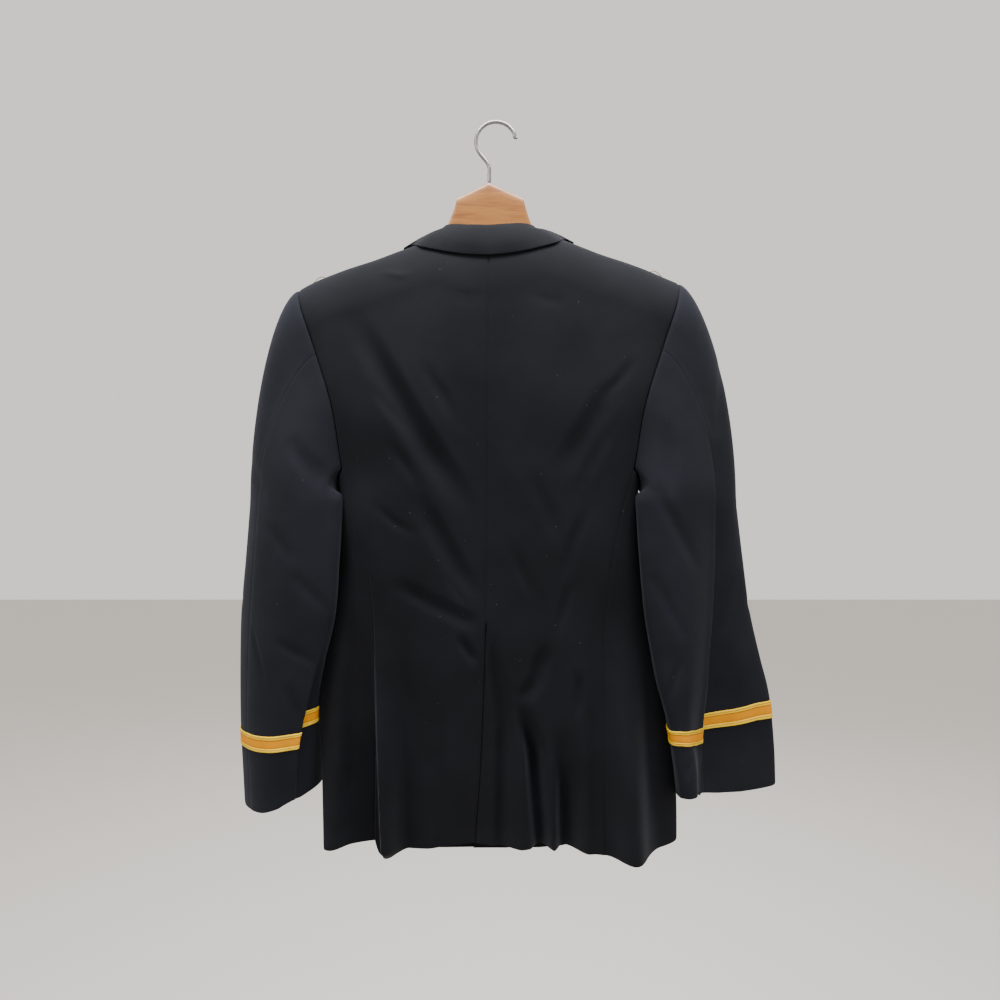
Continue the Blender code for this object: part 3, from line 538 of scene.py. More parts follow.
# %% Navy wool
def navy_wool(name, deep, high):
    mat, tree, shader = finish(name, deep, 0.9, Sheen_Weight=0.05, Sheen_Roughness=0.4,
                               Specular_IOR_Level=0.15)
    shader.inputs["Sheen Tint"].default_value = (0.62, 0.68, 0.82, 1)
    place = node(tree, "ShaderNodeTexCoord")
    uv, where = place.outputs["UV"], place.outputs["Object"]
    cloud = texture(tree, "Noise", where, Scale=14.0, Detail=3.0)
    nap = texture(tree, "Noise", where, Scale=900.0, Detail=2.0)
    fluff = texture(tree, "Noise", where, Scale=210.0, Detail=2.0)
    turn = node(tree, "ShaderNodeMapping")
    turn.inputs["Rotation"].default_value = (0, 0, math.radians(27))
    tree.links.new(uv, turn.inputs["Vector"])
    twill = texture(tree, "Wave", turn.outputs["Vector"], Scale=420.0, Distortion=0.6, Detail=1.0)
    base = color_steps(tree, cloud.outputs["Fac"], (0.30, deep), (0.70, high))
    lint = texture(tree, "Voronoi", where, Scale=95.0, Randomness=1.0)
    speck = color_steps(tree, lint.outputs["Distance"], (0.0, (1, 1, 1)), (0.06, (0, 0, 0)))
    rare = color_steps(tree, fluff.outputs["Fac"], (0.56, (0, 0, 0)), (0.62, (1, 1, 1)))
    mix = node(tree, "ShaderNodeMixRGB")
    tree.links.new(combined(tree, "MULTIPLY", speck, rare), mix.inputs["Fac"])
    tree.links.new(base, mix.inputs["Color1"])
    mix.inputs["Color2"].default_value = (0.15, 0.15, 0.165, 1)
    tree.links.new(mix.outputs["Color"], shader.inputs["Base Color"])
    bumped(tree, shader, (nap.outputs["Fac"], 0.0003, 0.5), (twill.outputs["Fac"], 0.00022, 0.35),
           (cloud.outputs["Fac"], 0.004, 0.25))
    return mat


# The body's copy of the wool is painted darker than the sleeves' copy. This is painted shade, since
# the cloth is the same.
body_wool_painted_shade = navy_wool("navy_wool_body_painted_shade", (0.0024, 0.0028, 0.0044), (0.0045, 0.0052, 0.0078))
sleeve_wool = navy_wool("navy_wool_sleeve", (0.0048, 0.0056, 0.0088), (0.0080, 0.0093, 0.0141))
print("wool finishes:", body_wool_painted_shade.name, sleeve_wool.name)

# %% [markdown]
# ## The backs
#
# Two backs meet in the centre seam, which stops above the hem. Below it the
# left back simply ends in an edge and the right back has an extra strip that
# passes under it. That overlap is the vent.

# %% Left and right back
def up_the_body(count, roll_count=26):
    straight = spaced(count, 0.0, 1.0)
    return np.concatenate((straight[:-4], np.linspace(1.0, 2.0, roll_count)))[:, None]


BODY_SEWN = (0.6, 1, 1, 1)               # how far the hem, the top and both long edges sink
rise = up_the_body(150)
s = spaced(66, 0.0, 2.0)[None, :] + 0 * rise
cut_piece("left_back_cloth", "back_left", body_point(s, rise), normals(body_point, s, rise),
          body_wool_painted_shade, BODY_SEWN)

low = body_height(12 + 0 * rise, rise)
lap = (UNDERLAP / 68) * ramp((VENT_TOP - low) / 24)
s = 10 + (2 + lap) * spaced(84)[None, :]
cut_piece("right_back_cloth", "back_right", lapped(s, rise + 0 * s, vent_edge),
          normals(body_point, s, rise + 0 * s), body_wool_painted_shade, BODY_SEWN)

# %% [markdown]
# ## The side bodies
#
# A narrow piece under each arm joins back to front. Its top edge is the
# bottom of the armhole, so it dips between the two seams.

# %% Side bodies
for half, first in (("left", 2.0), ("right", 8.0)):
    s = spaced(44, first, first + 2)[None, :]
    top = UNDERARM - UNDERARM_DIP * np.sin((s - first) * math.pi / 2)
    q = q_of_z(s, top) * spaced(110)[:, None]
    s = s + 0 * q
    cut_piece(half + "_side_cloth", "side_" + half, body_point(s, q), normals(body_point, s, q),
              body_wool_painted_shade, BODY_SEWN)

# %% [markdown]
# ## The fronts and lapels
#
# The fronts face the wall in the photograph, so they are kept plain: closed
# left over right, with a lapel turned out on each side of the neck.

# %% Fronts
for half in ("left", "right"):
    steps = spaced(60)[None, :]
    q = rise + 0 * steps
    s = 6.0 + 0 * q
    for _ in range(3):
        z = body_height(s, q)
        inner = front_station(break_line(z, half), z)
        s = 4 + (inner - 4) * steps if half == "left" else inner + (8 - inner) * steps
    outer = body_point(s, q) if half == "left" else lapped(s, q, left_front_edge, 8.0)
    cut_piece(half + "_front_cloth", "front_" + half, outer, normals(body_point, s, q), body_wool_painted_shade,
              BODY_SEWN)

# %% Lapels
for half, sign, low_z in (("left", -1, -432.0), ("right", 1, -338.0)):
    u, r = spaced(30)[None, :], spaced(60, 0.03, 1.0)[:, None]
    z = low_z + (-210 - 27 * u - low_z) * r
    level = low_z + (-210 - low_z) * r + 0 * u
    width = 86 * np.clip((level - low_z) / (-210 - low_z), 0, 1) ** 0.75
    x = break_line(z, half) - sign * 1.5 + sign * width * u
    s = front_station(x, z)
    q = q_of_z(s, z)
    normal = normals(body_point, s, q)
    puff = 2.9 + 3.0 * (1 - u) ** 2 * np.sin(r * math.pi / 2) ** 0.5
    outer = body_point(s, q) + normal * puff[..., None]
    cut_piece(half + "_lapel_cloth", "lapel_" + half, outer, normal, body_wool_painted_shade,
              (0.5, 0.5, 0.5, 0.5))

# %% [markdown]
# ## The collar
#
# The collar is one strip folded over: a low stand rises from the neck seam,
# rolls over, and the fall comes down onto the shoulders. Its section is
# drawn at several places round the neck and the strip runs through them.

# %% Collar
# The collar, from the middle of the back to its front end: the place along it,
# where the neck seam is, the roll line from there (x, y, z), the fall's edge (x, z)
# and how far the fall bows out.
COLLAR_BACK = ((0.0, 0, 0, -2, 31, 0, -180, 3), (0.33, 22, 4, -2, 28, 31, -178, 4),
               (0.67, 43, 3, -3, 26, 69, -171, 2.5), (1.0, 60, -3, -3, 21, 104, -159, 2.4))
COLLAR_FRONT = ((1.0, -150, -3, -3, 21, 104, -159, 2.4), (1.4, -165, -3, 5, 17, 108, -184, 5),
                (1.7, -185, -3, 7, 10, 106, -204, 6), (2.0, -204, -2, 6, 3, 97, -219, 3))

# Height of the collar's top edge as seen from behind, by x.
COLLAR_TOP = ((-75, -140.5), (-63.5, -134.8), (-59, -133), (-34, -137), (-7, -139), (20, -136),
              (31, -134.3), (50, -132.3), (56, -134.5), (66, -141.5))


def collar_row(place, half):
    """Neck, roll and fall points of the collar at a place, and the way out of its fall."""
    sign = -1 if half == "left" else 1
    back = place <= 1.0
    neck, dx, dy, dz, fall_x, fall_z, bow = hermite(COLLAR_BACK if back else COLLAR_FRONT, place)
    if back:
        x = CENTRE_X + sign * neck
        s = float(back_station(np.array(x), np.array(-150.0)))
        seam = body_point(s, 2.0)
    else:
        x = float(break_line(np.array(neck), half))
        s = float(front_station(np.array(x), np.array(neck)))
        seam = body_point(s, float(q_of_z(s, neck)))
    roll = seam + np.array((sign * dx, dy, dz))
    top = np.interp(roll[0], *zip(*COLLAR_TOP)) - 1.3
    roll[2] += (top - roll[2]) * float(ramp((1.4 - place) / 0.3))
    edge_x = CENTRE_X + sign * fall_x
    edge_z = fall_z + (0.05 * fall_x if half == "right" else 0)
    if abs(place - 1.0) < 0.13:
        s = float(back_station(np.array(edge_x), np.array(-200.0)))
        q = 2.0
    else:
        find = back_station if back else front_station
        s = float(find(np.array(edge_x), np.array(edge_z)))
        q = float(q_of_z(s, edge_z))
    out = normals(body_point, np.array([s]), np.array([q]))[0]
    edge = body_point(s, q) + out * (2.2 + 0.9 * math.exp(-((place - 1) / 0.3) ** 2))
    return seam, roll, edge, out, bow


places = np.concatenate((np.linspace(0, 0.85, 22), np.linspace(0.88, 1.3, 16),
                         np.linspace(1.34, 2.0, 20)))
lines = []
for half, order in (("left", places[::-1]), ("right", places[1:])):
    for place in order:
        seam, roll, edge, out, bow = collar_row(place, half)
        away = (edge - roll) / np.linalg.norm(edge - roll)
        flat = np.array((away[0], away[1], 0)) / math.hypot(away[0], away[1])
        start = seam + np.array((0, 0, 2.0)) - flat * 2.0 * float(ramp((place - 0.9) / 0.2))
        over = [start, start * 0.5 + roll * 0.5 - flat * 0.8,
                roll - flat * 1.5 - np.array((0, 0, 2.5)), roll,
                roll + flat * 2.2 - np.array((0, 0, 2.0))]
        base = over[-1]
        for t in (0.33, 0.66, 1.0):
            over.append(base + (edge - base) * t + out * bow * 4 * t * (1 - t))
        row = np.array(over)
        arc = np.concatenate(([0], np.cumsum(np.linalg.norm(np.diff(row, axis=0), axis=1))))
        fine = np.concatenate((np.linspace(0, arc[4], 16), np.linspace(arc[4], arc[-1], 20)[1:]))
        lines.append(hermite(np.column_stack((arc, row)).tolist(), fine))
line = np.array(lines)
for _ in range(2):
    line[1:-1] = line[1:-1] * 0.5 + (line[:-2] + line[2:]) * 0.25
normal = np.cross(np.gradient(line, axis=0), np.gradient(line, axis=1))
normal /= np.linalg.norm(normal, axis=-1, keepdims=True)
if normal[len(places) - 1, -1, 1] > 0:
    normal = -normal
collar = skin("collar_cloth", line + normal * 1.1, normal, thick=2.2, sewn=(0.4, 0.4, 0.4, 0.4))
collar.data.materials.append(body_wool_painted_shade)
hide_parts("collar")
declare_cloth(collar, line)

# %% [markdown]
# ## The sleeves
#
# Each sleeve is two pieces. Its rings are drawn at several heights, flat
# where the sleeve lies near the wall and full above. The head springs from
# the armhole and turns down in one smooth curve.

# %% Sleeve rings
# The sleeves' rings by height z: x and y of the outer side, hindarm seam, back, inner
# lobe, inner side and front of each, and how the ring tilts along X and Y.
SLEEVE_LEFT = (
    (-475, -299, 0, -284, -36, -240, -56, -189, -49, -199, -4, -243, 42, 0.0, 0.0),
    (-545, -305, 0, -289, -36, -246, -56, -194, -48, -203, -4, -250, 42, 0.0, 0.0),
    (-610, -311, 0, -294, -34, -253, -54, -201, -43, -207, -4, -258, 43, 0.0, 0.0),
    (-680, -313, 2, -298, -32, -262, -50, -217, -38, -220, 0, -264, 44, 0.1, 0.1),
    (-743, -313, 4, -299, -29, -268, -45, -232, -32, -224, 4, -266, 45, 0.2, 0.2),
    (-800, -311, 6, -298, -26, -270, -42, -237, -30, -222, 10, -266, 46, 0.2, 0.2),
    (-840, -309, 6, -297, -24, -271, -40, -240, -27, -222, 14, -265, 46, 0.2, 0.2),
)
SLEEVE_RIGHT = (
    (-475, 302, 8, 274, -26, 222, -56, 177, -49, 188, -4, 236, 42, 0.0, 0.0),
    (-545, 312, 10, 276, -22, 228, -55, 182, -47, 194, -2, 246, 43, 0.0, 0.0),
    (-610, 322, 12, 275, -18, 230, -54, 189, -44, 199, -2, 256, 44, 0.0, 0.0),
    (-680, 338, 16, 270, -14, 231, -52, 201, -42, 210, 0, 268, 45, 0.05, 0.02),
    (-745, 352, 20, 265, -8, 231, -50, 211, -41, 223, 4, 285, 46, 0.1, 0.03),
    (-800, 359, 24, 264, -2, 240, -48, 219, -39, 232, 8, 295, 47, 0.0, -0.08),
    (-835, 361, 26, 264, 0, 242, -46, 224, -37, 234, 10, 296, 47, -0.08, -0.17),
)
FOREARM_SEAM = 4.4                       # ring station of the inner seam
# The armhole: sleeve station from the shoulder down, and how high on the body's edge.
ARM_BACK = ((0, 2.0), (0.3, 1.62), (0.55, 1.27), (0.8, 0.99), (1.0, 0.95), (2.0, 0.83))
ARM_FRONT = ((0, 2.0), (0.3, 1.62), (0.55, 1.27), (0.75, 0.99), (1.0, 0.93))
BRAID_TOP_LEFT, BRAID_TOP_RIGHT = -743.0, -744.0


def arm_point(a, left):
    """The armhole seam at ring station a: 0 on the shoulder, down the back, round."""
    a = np.asarray(a, float) % 6
    back_s, front_s = (2.0, 4.0) if left else (10.0, 8.0)
    under = np.clip((a - 2.6) / (FOREARM_SEAM - 2.6), 0, 1)
    s = back_s + (front_s - back_s) * under
    q = q_of_z(s, UNDERARM - UNDERARM_DIP * np.sin(under * math.pi))
    for edge, rows, share in ((back_s, ARM_BACK, a), (front_s, ARM_FRONT, 6 - a)):
        join = float(q_of_z(edge, UNDERARM))
        table = rows + ((2.6 if edge == back_s else 6 - FOREARM_SEAM, join),)
        here = share <= table[-1][0]
        q = np.where(here, hermite(table, share)[..., 0], q)
        s = np.where(here, edge, s)
    return body_point(s, q), normals(body_point, s, q)


def sleeve_ring(a, z, rows):
    """A sleeve's ring at level z: a 0 outer side, 1 hindarm seam, 2 back, 4 inner side."""
    c = np.moveaxis(hermite(rows, z), -1, 0)
    points = [np.stack((c[2 * k], c[2 * k + 1]), -1) for k in range(6)]
    ring = round_ring(points, a % 6)
    x, y = ring[..., 0], ring[..., 1]
    return np.stack((x, y, z + c[12] * (x - c[4]) + c[13] * y), -1)


def sleeve_point(a, v, left):
    """Outer face of a sleeve: v 0 at the armhole, 1 on the first free ring, 2 at the hem."""
    rows = SLEEVE_LEFT if left else SLEEVE_RIGHT
    a, v = np.broadcast_arrays(np.asarray(a, float), np.asarray(v, float))
    first, last = rows[0][0], rows[-1][0]
    sign = -1.0 if left else 1.0
    start, torso = arm_point(a, left)
    ring = sleeve_ring(a, np.full_like(a, float(first)), rows)
    t = np.clip(v, -0.05, 1)[..., None]
    long = np.linalg.norm(ring - start, axis=-1, keepdims=True)
    out = np.array((sign, 0.0, -0.35)) / math.hypot(1, 0.35)
    under = ramp(1 - np.abs(a % 6 - 3.6) / 1.6)[..., None]
    p1 = start + out * (0.12 * long * (1 - under) + 3.0 * under)
    p2 = ring + np.array((0, 0, 1.0)) * long * 0.45
    head = (start * (1 - t) ** 3 + 3 * p1 * t * (1 - t) ** 2 + 3 * p2 * t**2 * (1 - t) + ring * t**3)
    arm = sleeve_ring(a, first + (last - first) * np.clip(v - 1, 0, 1.02), rows)
    return np.where(v[..., None] < 1, head, arm) + out * 0.85 * (1 - t)

print("sleeve rings:", len(SLEEVE_LEFT), "and", len(SLEEVE_RIGHT))

# %% Creases on the sleeves
# Each runs between two places (ring station, height); depth, width in mm.
SLEEVE_CREASES = {
    "left": ((1.15, -628, 1.75, -690, 2.4, 8), (2.2, -560, 3.0, -610, 1.8, 10),
             (1.4, -500, 2.2, -545, 1.6, 12), (2.0, -640, 2.9, -668, 2.0, 9),
             (0.3, -420, 1.4, -470, 1.8, 14), (1.6, -400, 2.6, -455, 2.6, 14),
             (2.3, -690, 2.9, -735, 1.8, 9), (5.4, -560, 6.4, -600, 2.0, 12),
             (5.0, -640, 6.0, -660, 2.0, 12)),
    "right": ((2.6, -455, 1.7, -560, 2.6, 14), (2.8, -560, 2.1, -640, 2.0, 12),
              (1.9, -380, 2.3, -470, 2.2, 14), (2.2, -660, 2.8, -715, 2.0, 10),
              (0.4, -560, 0.8, -690, 2.4, 14), (1.9, -770, 2.5, -800, 2.0, 9),
              (5.2, -560, 6.2, -610, 2.0, 12), (6.2, -300, 6.8, -400, 2.4, 12)),
}
# One sharp fold on each sleeve, where the near part hides the cloth behind it:
# height, ring station, depth in mm. The cloth sinks towards lower stations on
# the right sleeve and towards higher ones on the left.
SHARP_FOLD = {
    "left": ((-900, 2.84, 1.5), (-835, 2.84, 1.5), (-800, 2.84, 4), (-765, 2.84, 8),
             (-715, 2.89, 8), (-680, 2.96, 4), (-650, 3.05, 0), (-200, 3.1, 0)),
    "right": ((-900, 1.16, 1.5), (-830, 1.16, 1.5), (-795, 1.16, 4), (-760, 1.16, 9),
              (-739, 1.14, 9), (-717, 1.12, 9), (-661, 1.18, 8), (-608, 1.21, 8),
              (-558, 1.20, 7.5), (-504, 1.17, 7), (-440, 1.12, 5), (-395, 1.1, 0), (-200, 1.1, 0)),
}
# How far the cuff's lines rise (mm) at ring stations, as the cloth slips in the
# fold: first along the braid, then along the hem.
CUFF_RISE = {
    "left": (((0, 0), (1.2, 0), (1.8, -2), (2.4, -6), (2.78, -9), (2.87, -9), (2.97, 10), (3.3, 10),
              (4, 8), (5, 2), (6, 0)),
             ((0, 0), (1.8, 0), (2.4, 1), (2.8, 5), (3.05, 4), (3.4, 4), (4, 3), (5, 0), (6, 0))),
    "right": (((0, 3), (0.35, 4), (0.6, 1), (1.0, -1), (1.12, -1), (1.17, -11), (1.35, -10),
               (1.5, -8), (1.8, -3), (2.4, 0), (3, -1), (3.6, -2), (5, 0), (6, 3)),
              ((0, 12), (0.25, 7), (0.55, 0), (0.8, -3), (1.05, -3), (1.16, -5), (1.25, -1),
               (1.5, 0), (1.9, 0), (2.4, -3), (3, -4), (3.6, -3), (5, 4), (6, 12))),
}
AROUND = 62.0            # mm of cloth between two ring stations, about


def away_from_middle(normal, outer):
    """Turn the normals so that they point away from the ring's middle."""
    middle = outer.mean(axis=1, keepdims=True)
    return normal * (1.0 if ((outer - middle) * normal)[..., :2].sum() > 0 else -1.0)


def grid_normals(outer):
    normal = np.cross(np.gradient(outer, axis=0), np.gradient(outer, axis=1))
    return away_from_middle(normal / np.linalg.norm(normal, axis=-1, keepdims=True), outer)


def shorter_way(far):
    """A distance round the sleeve, taken the shorter way."""
    return (far + 3 * AROUND) % (6 * AROUND) - 3 * AROUND


def creased_sleeve(a, v, half):
    a, v = a + 0 * v, v + 0 * a
    base = sleeve_point(a, v, half == "left")
    turn = a % 6
    # The inner edge lies over the body's side, so no wall shows between them.
    near = ramp((v - 0.56) / 0.2) * ramp((turn - 2.5) / 0.6) * ramp((4.7 - turn) / 0.5)
    if half == "left":
        base[..., 0] += near * 5.5
    else:
        base[..., 0] -= near * 5.0 * ramp((base[..., 2] + 740) / 60)
    level = base[..., 2].copy()
    braid_rise, hem_rise = [np.interp(turn, *zip(*row)) for row in CUFF_RISE[half]]
    rise_here = braid_rise + (hem_rise - braid_rise) * ramp((v - 1.8) / 0.2)
    base[..., 2] += rise_here * ramp((v - 1.5) / 0.2)
    normal = grid_normals(base)
    push = np.zeros(level.shape)
    for a0, z0, a1, z1, depth, wide in SLEEVE_CREASES[half]:
        x, z = shorter_way((turn - a0) * AROUND), level - z0
        run = np.array(((a1 - a0) * AROUND, z1 - z0))
        t = np.clip((x * run[0] + z * run[1]) / (run @ run), 0, 1)
        far = np.hypot(x - t * run[0], z - t * run[1])
        shape = np.cos(np.clip(far / wide, 0, 1) * math.pi / 2) ** 2
        push += depth * shape * np.sin(t * math.pi) ** 0.7
    heights, stations, depths = zip(*SHARP_FOLD[half])
    at, deep = np.interp(level, heights, stations), np.interp(level, heights, depths)
    into = shorter_way((turn - at) * AROUND * (1 if half == "left" else -1))
    push += deep * ramp(into / 2.6) * ramp((44 - into) / 36)
    push -= deep * 0.12 * ramp((into + 12) / 10) * ramp(-into / 2.6 + 1)
    return base - normal * push[..., None], normal


# %% Top and under sleeves
def sleeve_levels(half, count):
    rows = SLEEVE_LEFT if half == "left" else SLEEVE_RIGHT
    return np.concatenate((np.linspace(0, 1, 46)[:-1], spaced(count, 1.0, 2.0)[3:]))[:, None]


def crowded(count, start, end, at):
    """Columns from start to end, close together round the sharp fold at one place."""
    fine = np.linspace(start, end, 2000)
    places = ((at, 0.13), (start, 0.05), (end, 0.05))
    weight = np.cumsum(1 + sum(7 * np.exp(-((fine - place) / wide) ** 2) for place, wide in places))
    return np.interp(np.linspace(weight[0], weight[-1], count), weight, fine)


for half, fold_at in (("left", 2.88), ("right", 1.16)):
    v = sleeve_levels(half, 92)
    for name, start, end, count in (("under", 1.0, FOREARM_SEAM, 84), ("top", FOREARM_SEAM, 7.0, 56)):
        turned = 6 if name == "top" and half == "right" else 0
        a = crowded(count, start, end, fold_at + turned)[None, :]
        outer, normal = creased_sleeve(a, v, half)
        cut_piece("%s_%s_sleeve_cloth" % (half, name), "%s_sleeve_%s" % (name, half), outer, normal,
                  sleeve_wool, (1, 0.6, 0.35, 0.35))

# %% [markdown]
# ## Braid on the cuffs
#
# One row of officer's braid runs right round each sleeve. It is woven in
# gold thread with two raised edges, a thin orange line beside each, and a
# flatter middle. The strip takes its shape from the sleeve below it.

# %% Braid finishes
def braid_finish(name, color, dark, scale):
    mat, tree, shader = finish(name, color, 0.8, Specular_IOR_Level=0.12)
    place = node(tree, "ShaderNodeTexCoord")
    ribs = texture(tree, "Wave", place.outputs["UV"], Scale=scale, Distortion=1.2, Detail=2.0)
    grain = texture(tree, "Noise", place.outputs["Object"], Scale=700.0, Detail=2.0)
    wear = texture(tree, "Noise", place.outputs["Object"], Scale=45.0, Detail=3.0)
    threads = combined(tree, "ADD", ribs.outputs["Fac"], wear.outputs["Fac"])
    mean = combined(tree, "MULTIPLY", threads, 0.5)
    tree.links.new(color_steps(tree, mean, (0.22, dark), (0.62, color)), shader.inputs["Base Color"])
    bumped(tree, shader, (ribs.outputs["Fac"], 0.0004, 0.6), (grain.outputs["Fac"], 0.0002, 0.4))
    return mat


braid_middle = braid_finish("braid_middle", (0.74, 0.30, 0.0), (0.52, 0.17, 0.0), 330.0)
braid_edge = braid_finish("braid_edge", (0.92, 0.62, 0.03), (0.46, 0.25, 0.003), 260.0)
braid_line = braid_finish("braid_line", (0.55, 0.15, 0.001), (0.30, 0.06, 0.0005), 420.0)

# %% Woven braid round both cuffs
# Across the strip: distance from its top edge in mm, height, and finish of the band below it.
WEAVE = ((0.0, 0.35, 1), (0.35, 0.85, 1), (1.1, 1.15, 1), (1.9, 0.9, 1), (2.3, 0.45, 2),
         (2.6, 0.75, 1), (3.4, 1.1, 1), (4.2, 0.8, 1), (4.6, 0.4, 2), (5.4, 0.45, 0), (6.6, 0.62, 0),
         (8.1, 0.68, 0), (9.65, 0.7, 0), (11.2, 0.68, 0), (12.7, 0.62, 0), (13.9, 0.45, 2),
         (14.7, 0.4, 1), (15.1, 0.8, 1), (15.9, 1.1, 1), (16.7, 0.75, 2), (17.0, 0.45, 1),
         (17.4, 0.9, 1), (18.2, 1.15, 1), (18.95, 0.85, 1), (19.3, 0.35, 1))
for half, top in (("left", BRAID_TOP_LEFT), ("right", BRAID_TOP_RIGHT)):
    rows = SLEEVE_LEFT if half == "left" else SLEEVE_RIGHT
    first, last = rows[0][0], rows[-1][0]
    down = np.array([entry[0] for entry in WEAVE])
    lift = np.array([entry[1] for entry in WEAVE])[:, None, None]
    v = 1 + ((top - down) - first)[:, None] / (last - first)
    a = np.linspace(1.0, 7.0, 361)[None, :-1]
    outer, normal = creased_sleeve(a, v, half)
    outer = outer + normal * (lift + 0.25)
    band = skin(half + "_cuff_braid", outer, normal, thick=0.3, closed=True)
    for mat in (braid_middle, braid_edge, braid_line):
        band.data.materials.append(mat)
    ring = outer.shape[1]
    which = np.zeros(len(band.data.polygons), dtype=np.int32)
    strips = np.repeat([entry[2] for entry in WEAVE[:-1]], ring)
    which[:len(strips)] = strips
    which[len(strips):] = 1
    band.data.polygons.foreach_set("material_index", which)
    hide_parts("braid_" + half)

# %% [markdown]
# ## Buttons and shoulder loops
#
# Four plain gilt buttons close the fronts. Each is a thin shell pressed over
# a plate, so it has a rolled rim and a domed face. On each shoulder a loop of
# thread stands up a few millimetres.

# %% Gilt, thread, and two shape helpers
def noisy_metal(name, color, rough, dull):
    mat, tree, shader = finish(name, color, rough, Metallic=1.0)
    place = node(tree, "ShaderNodeTexCoord")
    cloud = texture(tree, "Noise", place.outputs["Object"], Scale=160.0, Detail=4.0)
    tree.links.new(color_steps(tree, cloud.outputs["Fac"], (0.35, dull), (0.65, color)),
                   shader.inputs["Base Color"])
    bumped(tree, shader, (cloud.outputs["Fac"], 0.00005, 0.05))
    return mat


gilt = noisy_metal("gilt_button", (0.83, 0.46, 0.10), 0.24, (0.52, 0.27, 0.05))
steel = noisy_metal("polished_wire", (0.27, 0.26, 0.25), 0.3, (0.22, 0.215, 0.205))
thread, thread_tree, thread_shader = finish("loop_thread", (0.42, 0.38, 0.28), 0.8)
thread_place = node(thread_tree, "ShaderNodeTexCoord")
thread_twist = texture(thread_tree, "Wave", thread_place.outputs["Object"], Scale=900.0,
                       Distortion=2.0)
thread_tree.links.new(color_steps(thread_tree, thread_twist.outputs["Fac"], (0.2, (0.22, 0.20, 0.13)),
                                  (0.8, (0.50, 0.46, 0.34))), thread_shader.inputs["Base Color"])
bumped(thread_tree, thread_shader, (thread_twist.outputs["Fac"], 0.0002, 0.5))


def ringed_mesh(name, rings, mat, reverse=False):
    """A closed mesh through equal rings of points, with a flat cap on each end."""
    sides, last = len(rings[0]), (len(rings) - 1) * len(rings[0])
    faces = [(r + k, r + (k + 1) % sides, r + sides + (k + 1) % sides, r + sides + k)
             for r in range(0, last, sides) for k in range(sides)]
    faces += [tuple(range(sides))[::-1], tuple(range(last, last + sides))]
    if reverse:
        faces = [face[:1] + face[:0:-1] for face in faces]
    mesh = bpy.data.meshes.new(name)
    mesh.from_pydata([tuple(np.array(point) * MM) for ring in rings for point in ring], [], faces)
    mesh.validate()
    mesh.shade_smooth()
    mesh.set_sharp_from_angle(angle=math.radians(50))
    mesh.materials.append(mat)
    piece = bpy.data.objects.new(name, mesh)
    bpy.context.collection.objects.link(piece)
    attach(piece, "root")
    return piece


def turns(sides, start=0.0):
    return [2 * math.pi * (k + start) / sides for k in range(sides)]


def bar(name, line, radius, mat, sides=16):
    """A round bar along a line; radius may differ from point to point."""
    line = np.array(line, dtype=float)
    run = np.gradient(line, axis=0)
    run /= np.linalg.norm(run, axis=1, keepdims=True)
    side = np.array((0.0, 1.0, 0.0))
    rings = [[place + wide * (math.cos(turn) * side + math.sin(turn) * np.cross(along, side))
              for turn in turns(sides)]
             for place, along, wide in zip(line, run, np.broadcast_to(radius, (len(line),)))]
    return ringed_mesh(name, rings, mat)


# %% Four buttons
BUTTONS = (-462.0, -536.0, -610.0, -684.0)               # their heights
# A button's outline from the plate over the rim to the dome: radius and height.
BUTTON_SHAPE = ((2.4, 0.0), (2.6, 1.5), (9.6, 1.7), (10.6, 2.0), (11.0, 2.6), (10.8, 3.15),
                (10.2, 3.3), (9.6, 3.05), (9.2, 2.95), (8.2, 3.9), (6.4, 5.0), (4.2, 5.8),
                (2.0, 6.2), (0.4, 6.3))
for number, z in enumerate(BUTTONS, 1):
    station = front_station(np.array([CENTRE_X]), np.array([z]))
    face = body_point(station, q_of_z(station, z))[0] + np.array((0, 0.7, 0))
    rings = [[face + np.array((radius * math.cos(turn), out, radius * math.sin(turn)))
              for turn in turns(48)] for radius, out in BUTTON_SHAPE]
    button = ringed_mesh("gilt_button_%d" % number, rings, gilt, reverse=True)
    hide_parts("button_%d" % number)
print("buttons:", len(BUTTONS), "of", 2 * max(BUTTON_SHAPE)[0], "mm")

# %% Thread loops on the shoulders
LOOP_SPAN, LOOP_RISE, LOOP_RADIUS = 17.0, 4.5, 0.7
for half, sign, near in (("left", -1, 203.0), ("right", 1, 200.0)):
    line = []
    for k in range(25):
        t = k / 24
        x = CENTRE_X + sign * (near + LOOP_SPAN * t)
        z = float(hermite(RIDGE, np.array(x))[..., 0])
        line.append((x, 0.0, z + LOOP_RADIUS + 0.35 + LOOP_RISE * math.sin(math.pi * t)))
    loop = bar(half + "_thread_loop", line, LOOP_RADIUS, thread, sides=10)
    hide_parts("strap_loop_" + half)

# %% [markdown]
# ## The hanger
#
# A shaped wooden board carries the shoulders. Its middle rises between the
# collar's two sides, and a bent wire hook screws into the top. The board is
# left bare here, because the print on the real one belongs to its maker.

# %% Varnished wood
wood, wood_tree, wood_shader = finish("varnished_wood", (0.55, 0.29, 0.10), 0.38, Coat_Weight=0.12,
                                      Coat_Roughness=0.2)
wood_place = node(wood_tree, "ShaderNodeTexCoord")
wood_turn = node(wood_tree, "ShaderNodeMapping")
wood_turn.inputs["Scale"].default_value = (6.0, 60.0, 70.0)
wood_tree.links.new(wood_place.outputs["Object"], wood_turn.inputs["Vector"])
wood_grain = texture(wood_tree, "Noise", wood_turn.outputs["Vector"], Scale=1.6, Detail=5.0,
                     Distortion=0.8)
wood_lines = texture(wood_tree, "Noise", wood_turn.outputs["Vector"], Scale=9.0, Detail=3.0)
wood_color = color_steps(wood_tree, wood_grain.outputs["Fac"], (0.25, (0.17, 0.055, 0.006)),
                         (0.5, (0.25, 0.092, 0.013)), (0.75, (0.31, 0.125, 0.020)))
wood_dark = color_steps(wood_tree, wood_lines.outputs["Fac"], (0.30, (0.72, 0.66, 0.58)),
                        (0.5, (1, 1, 1)))
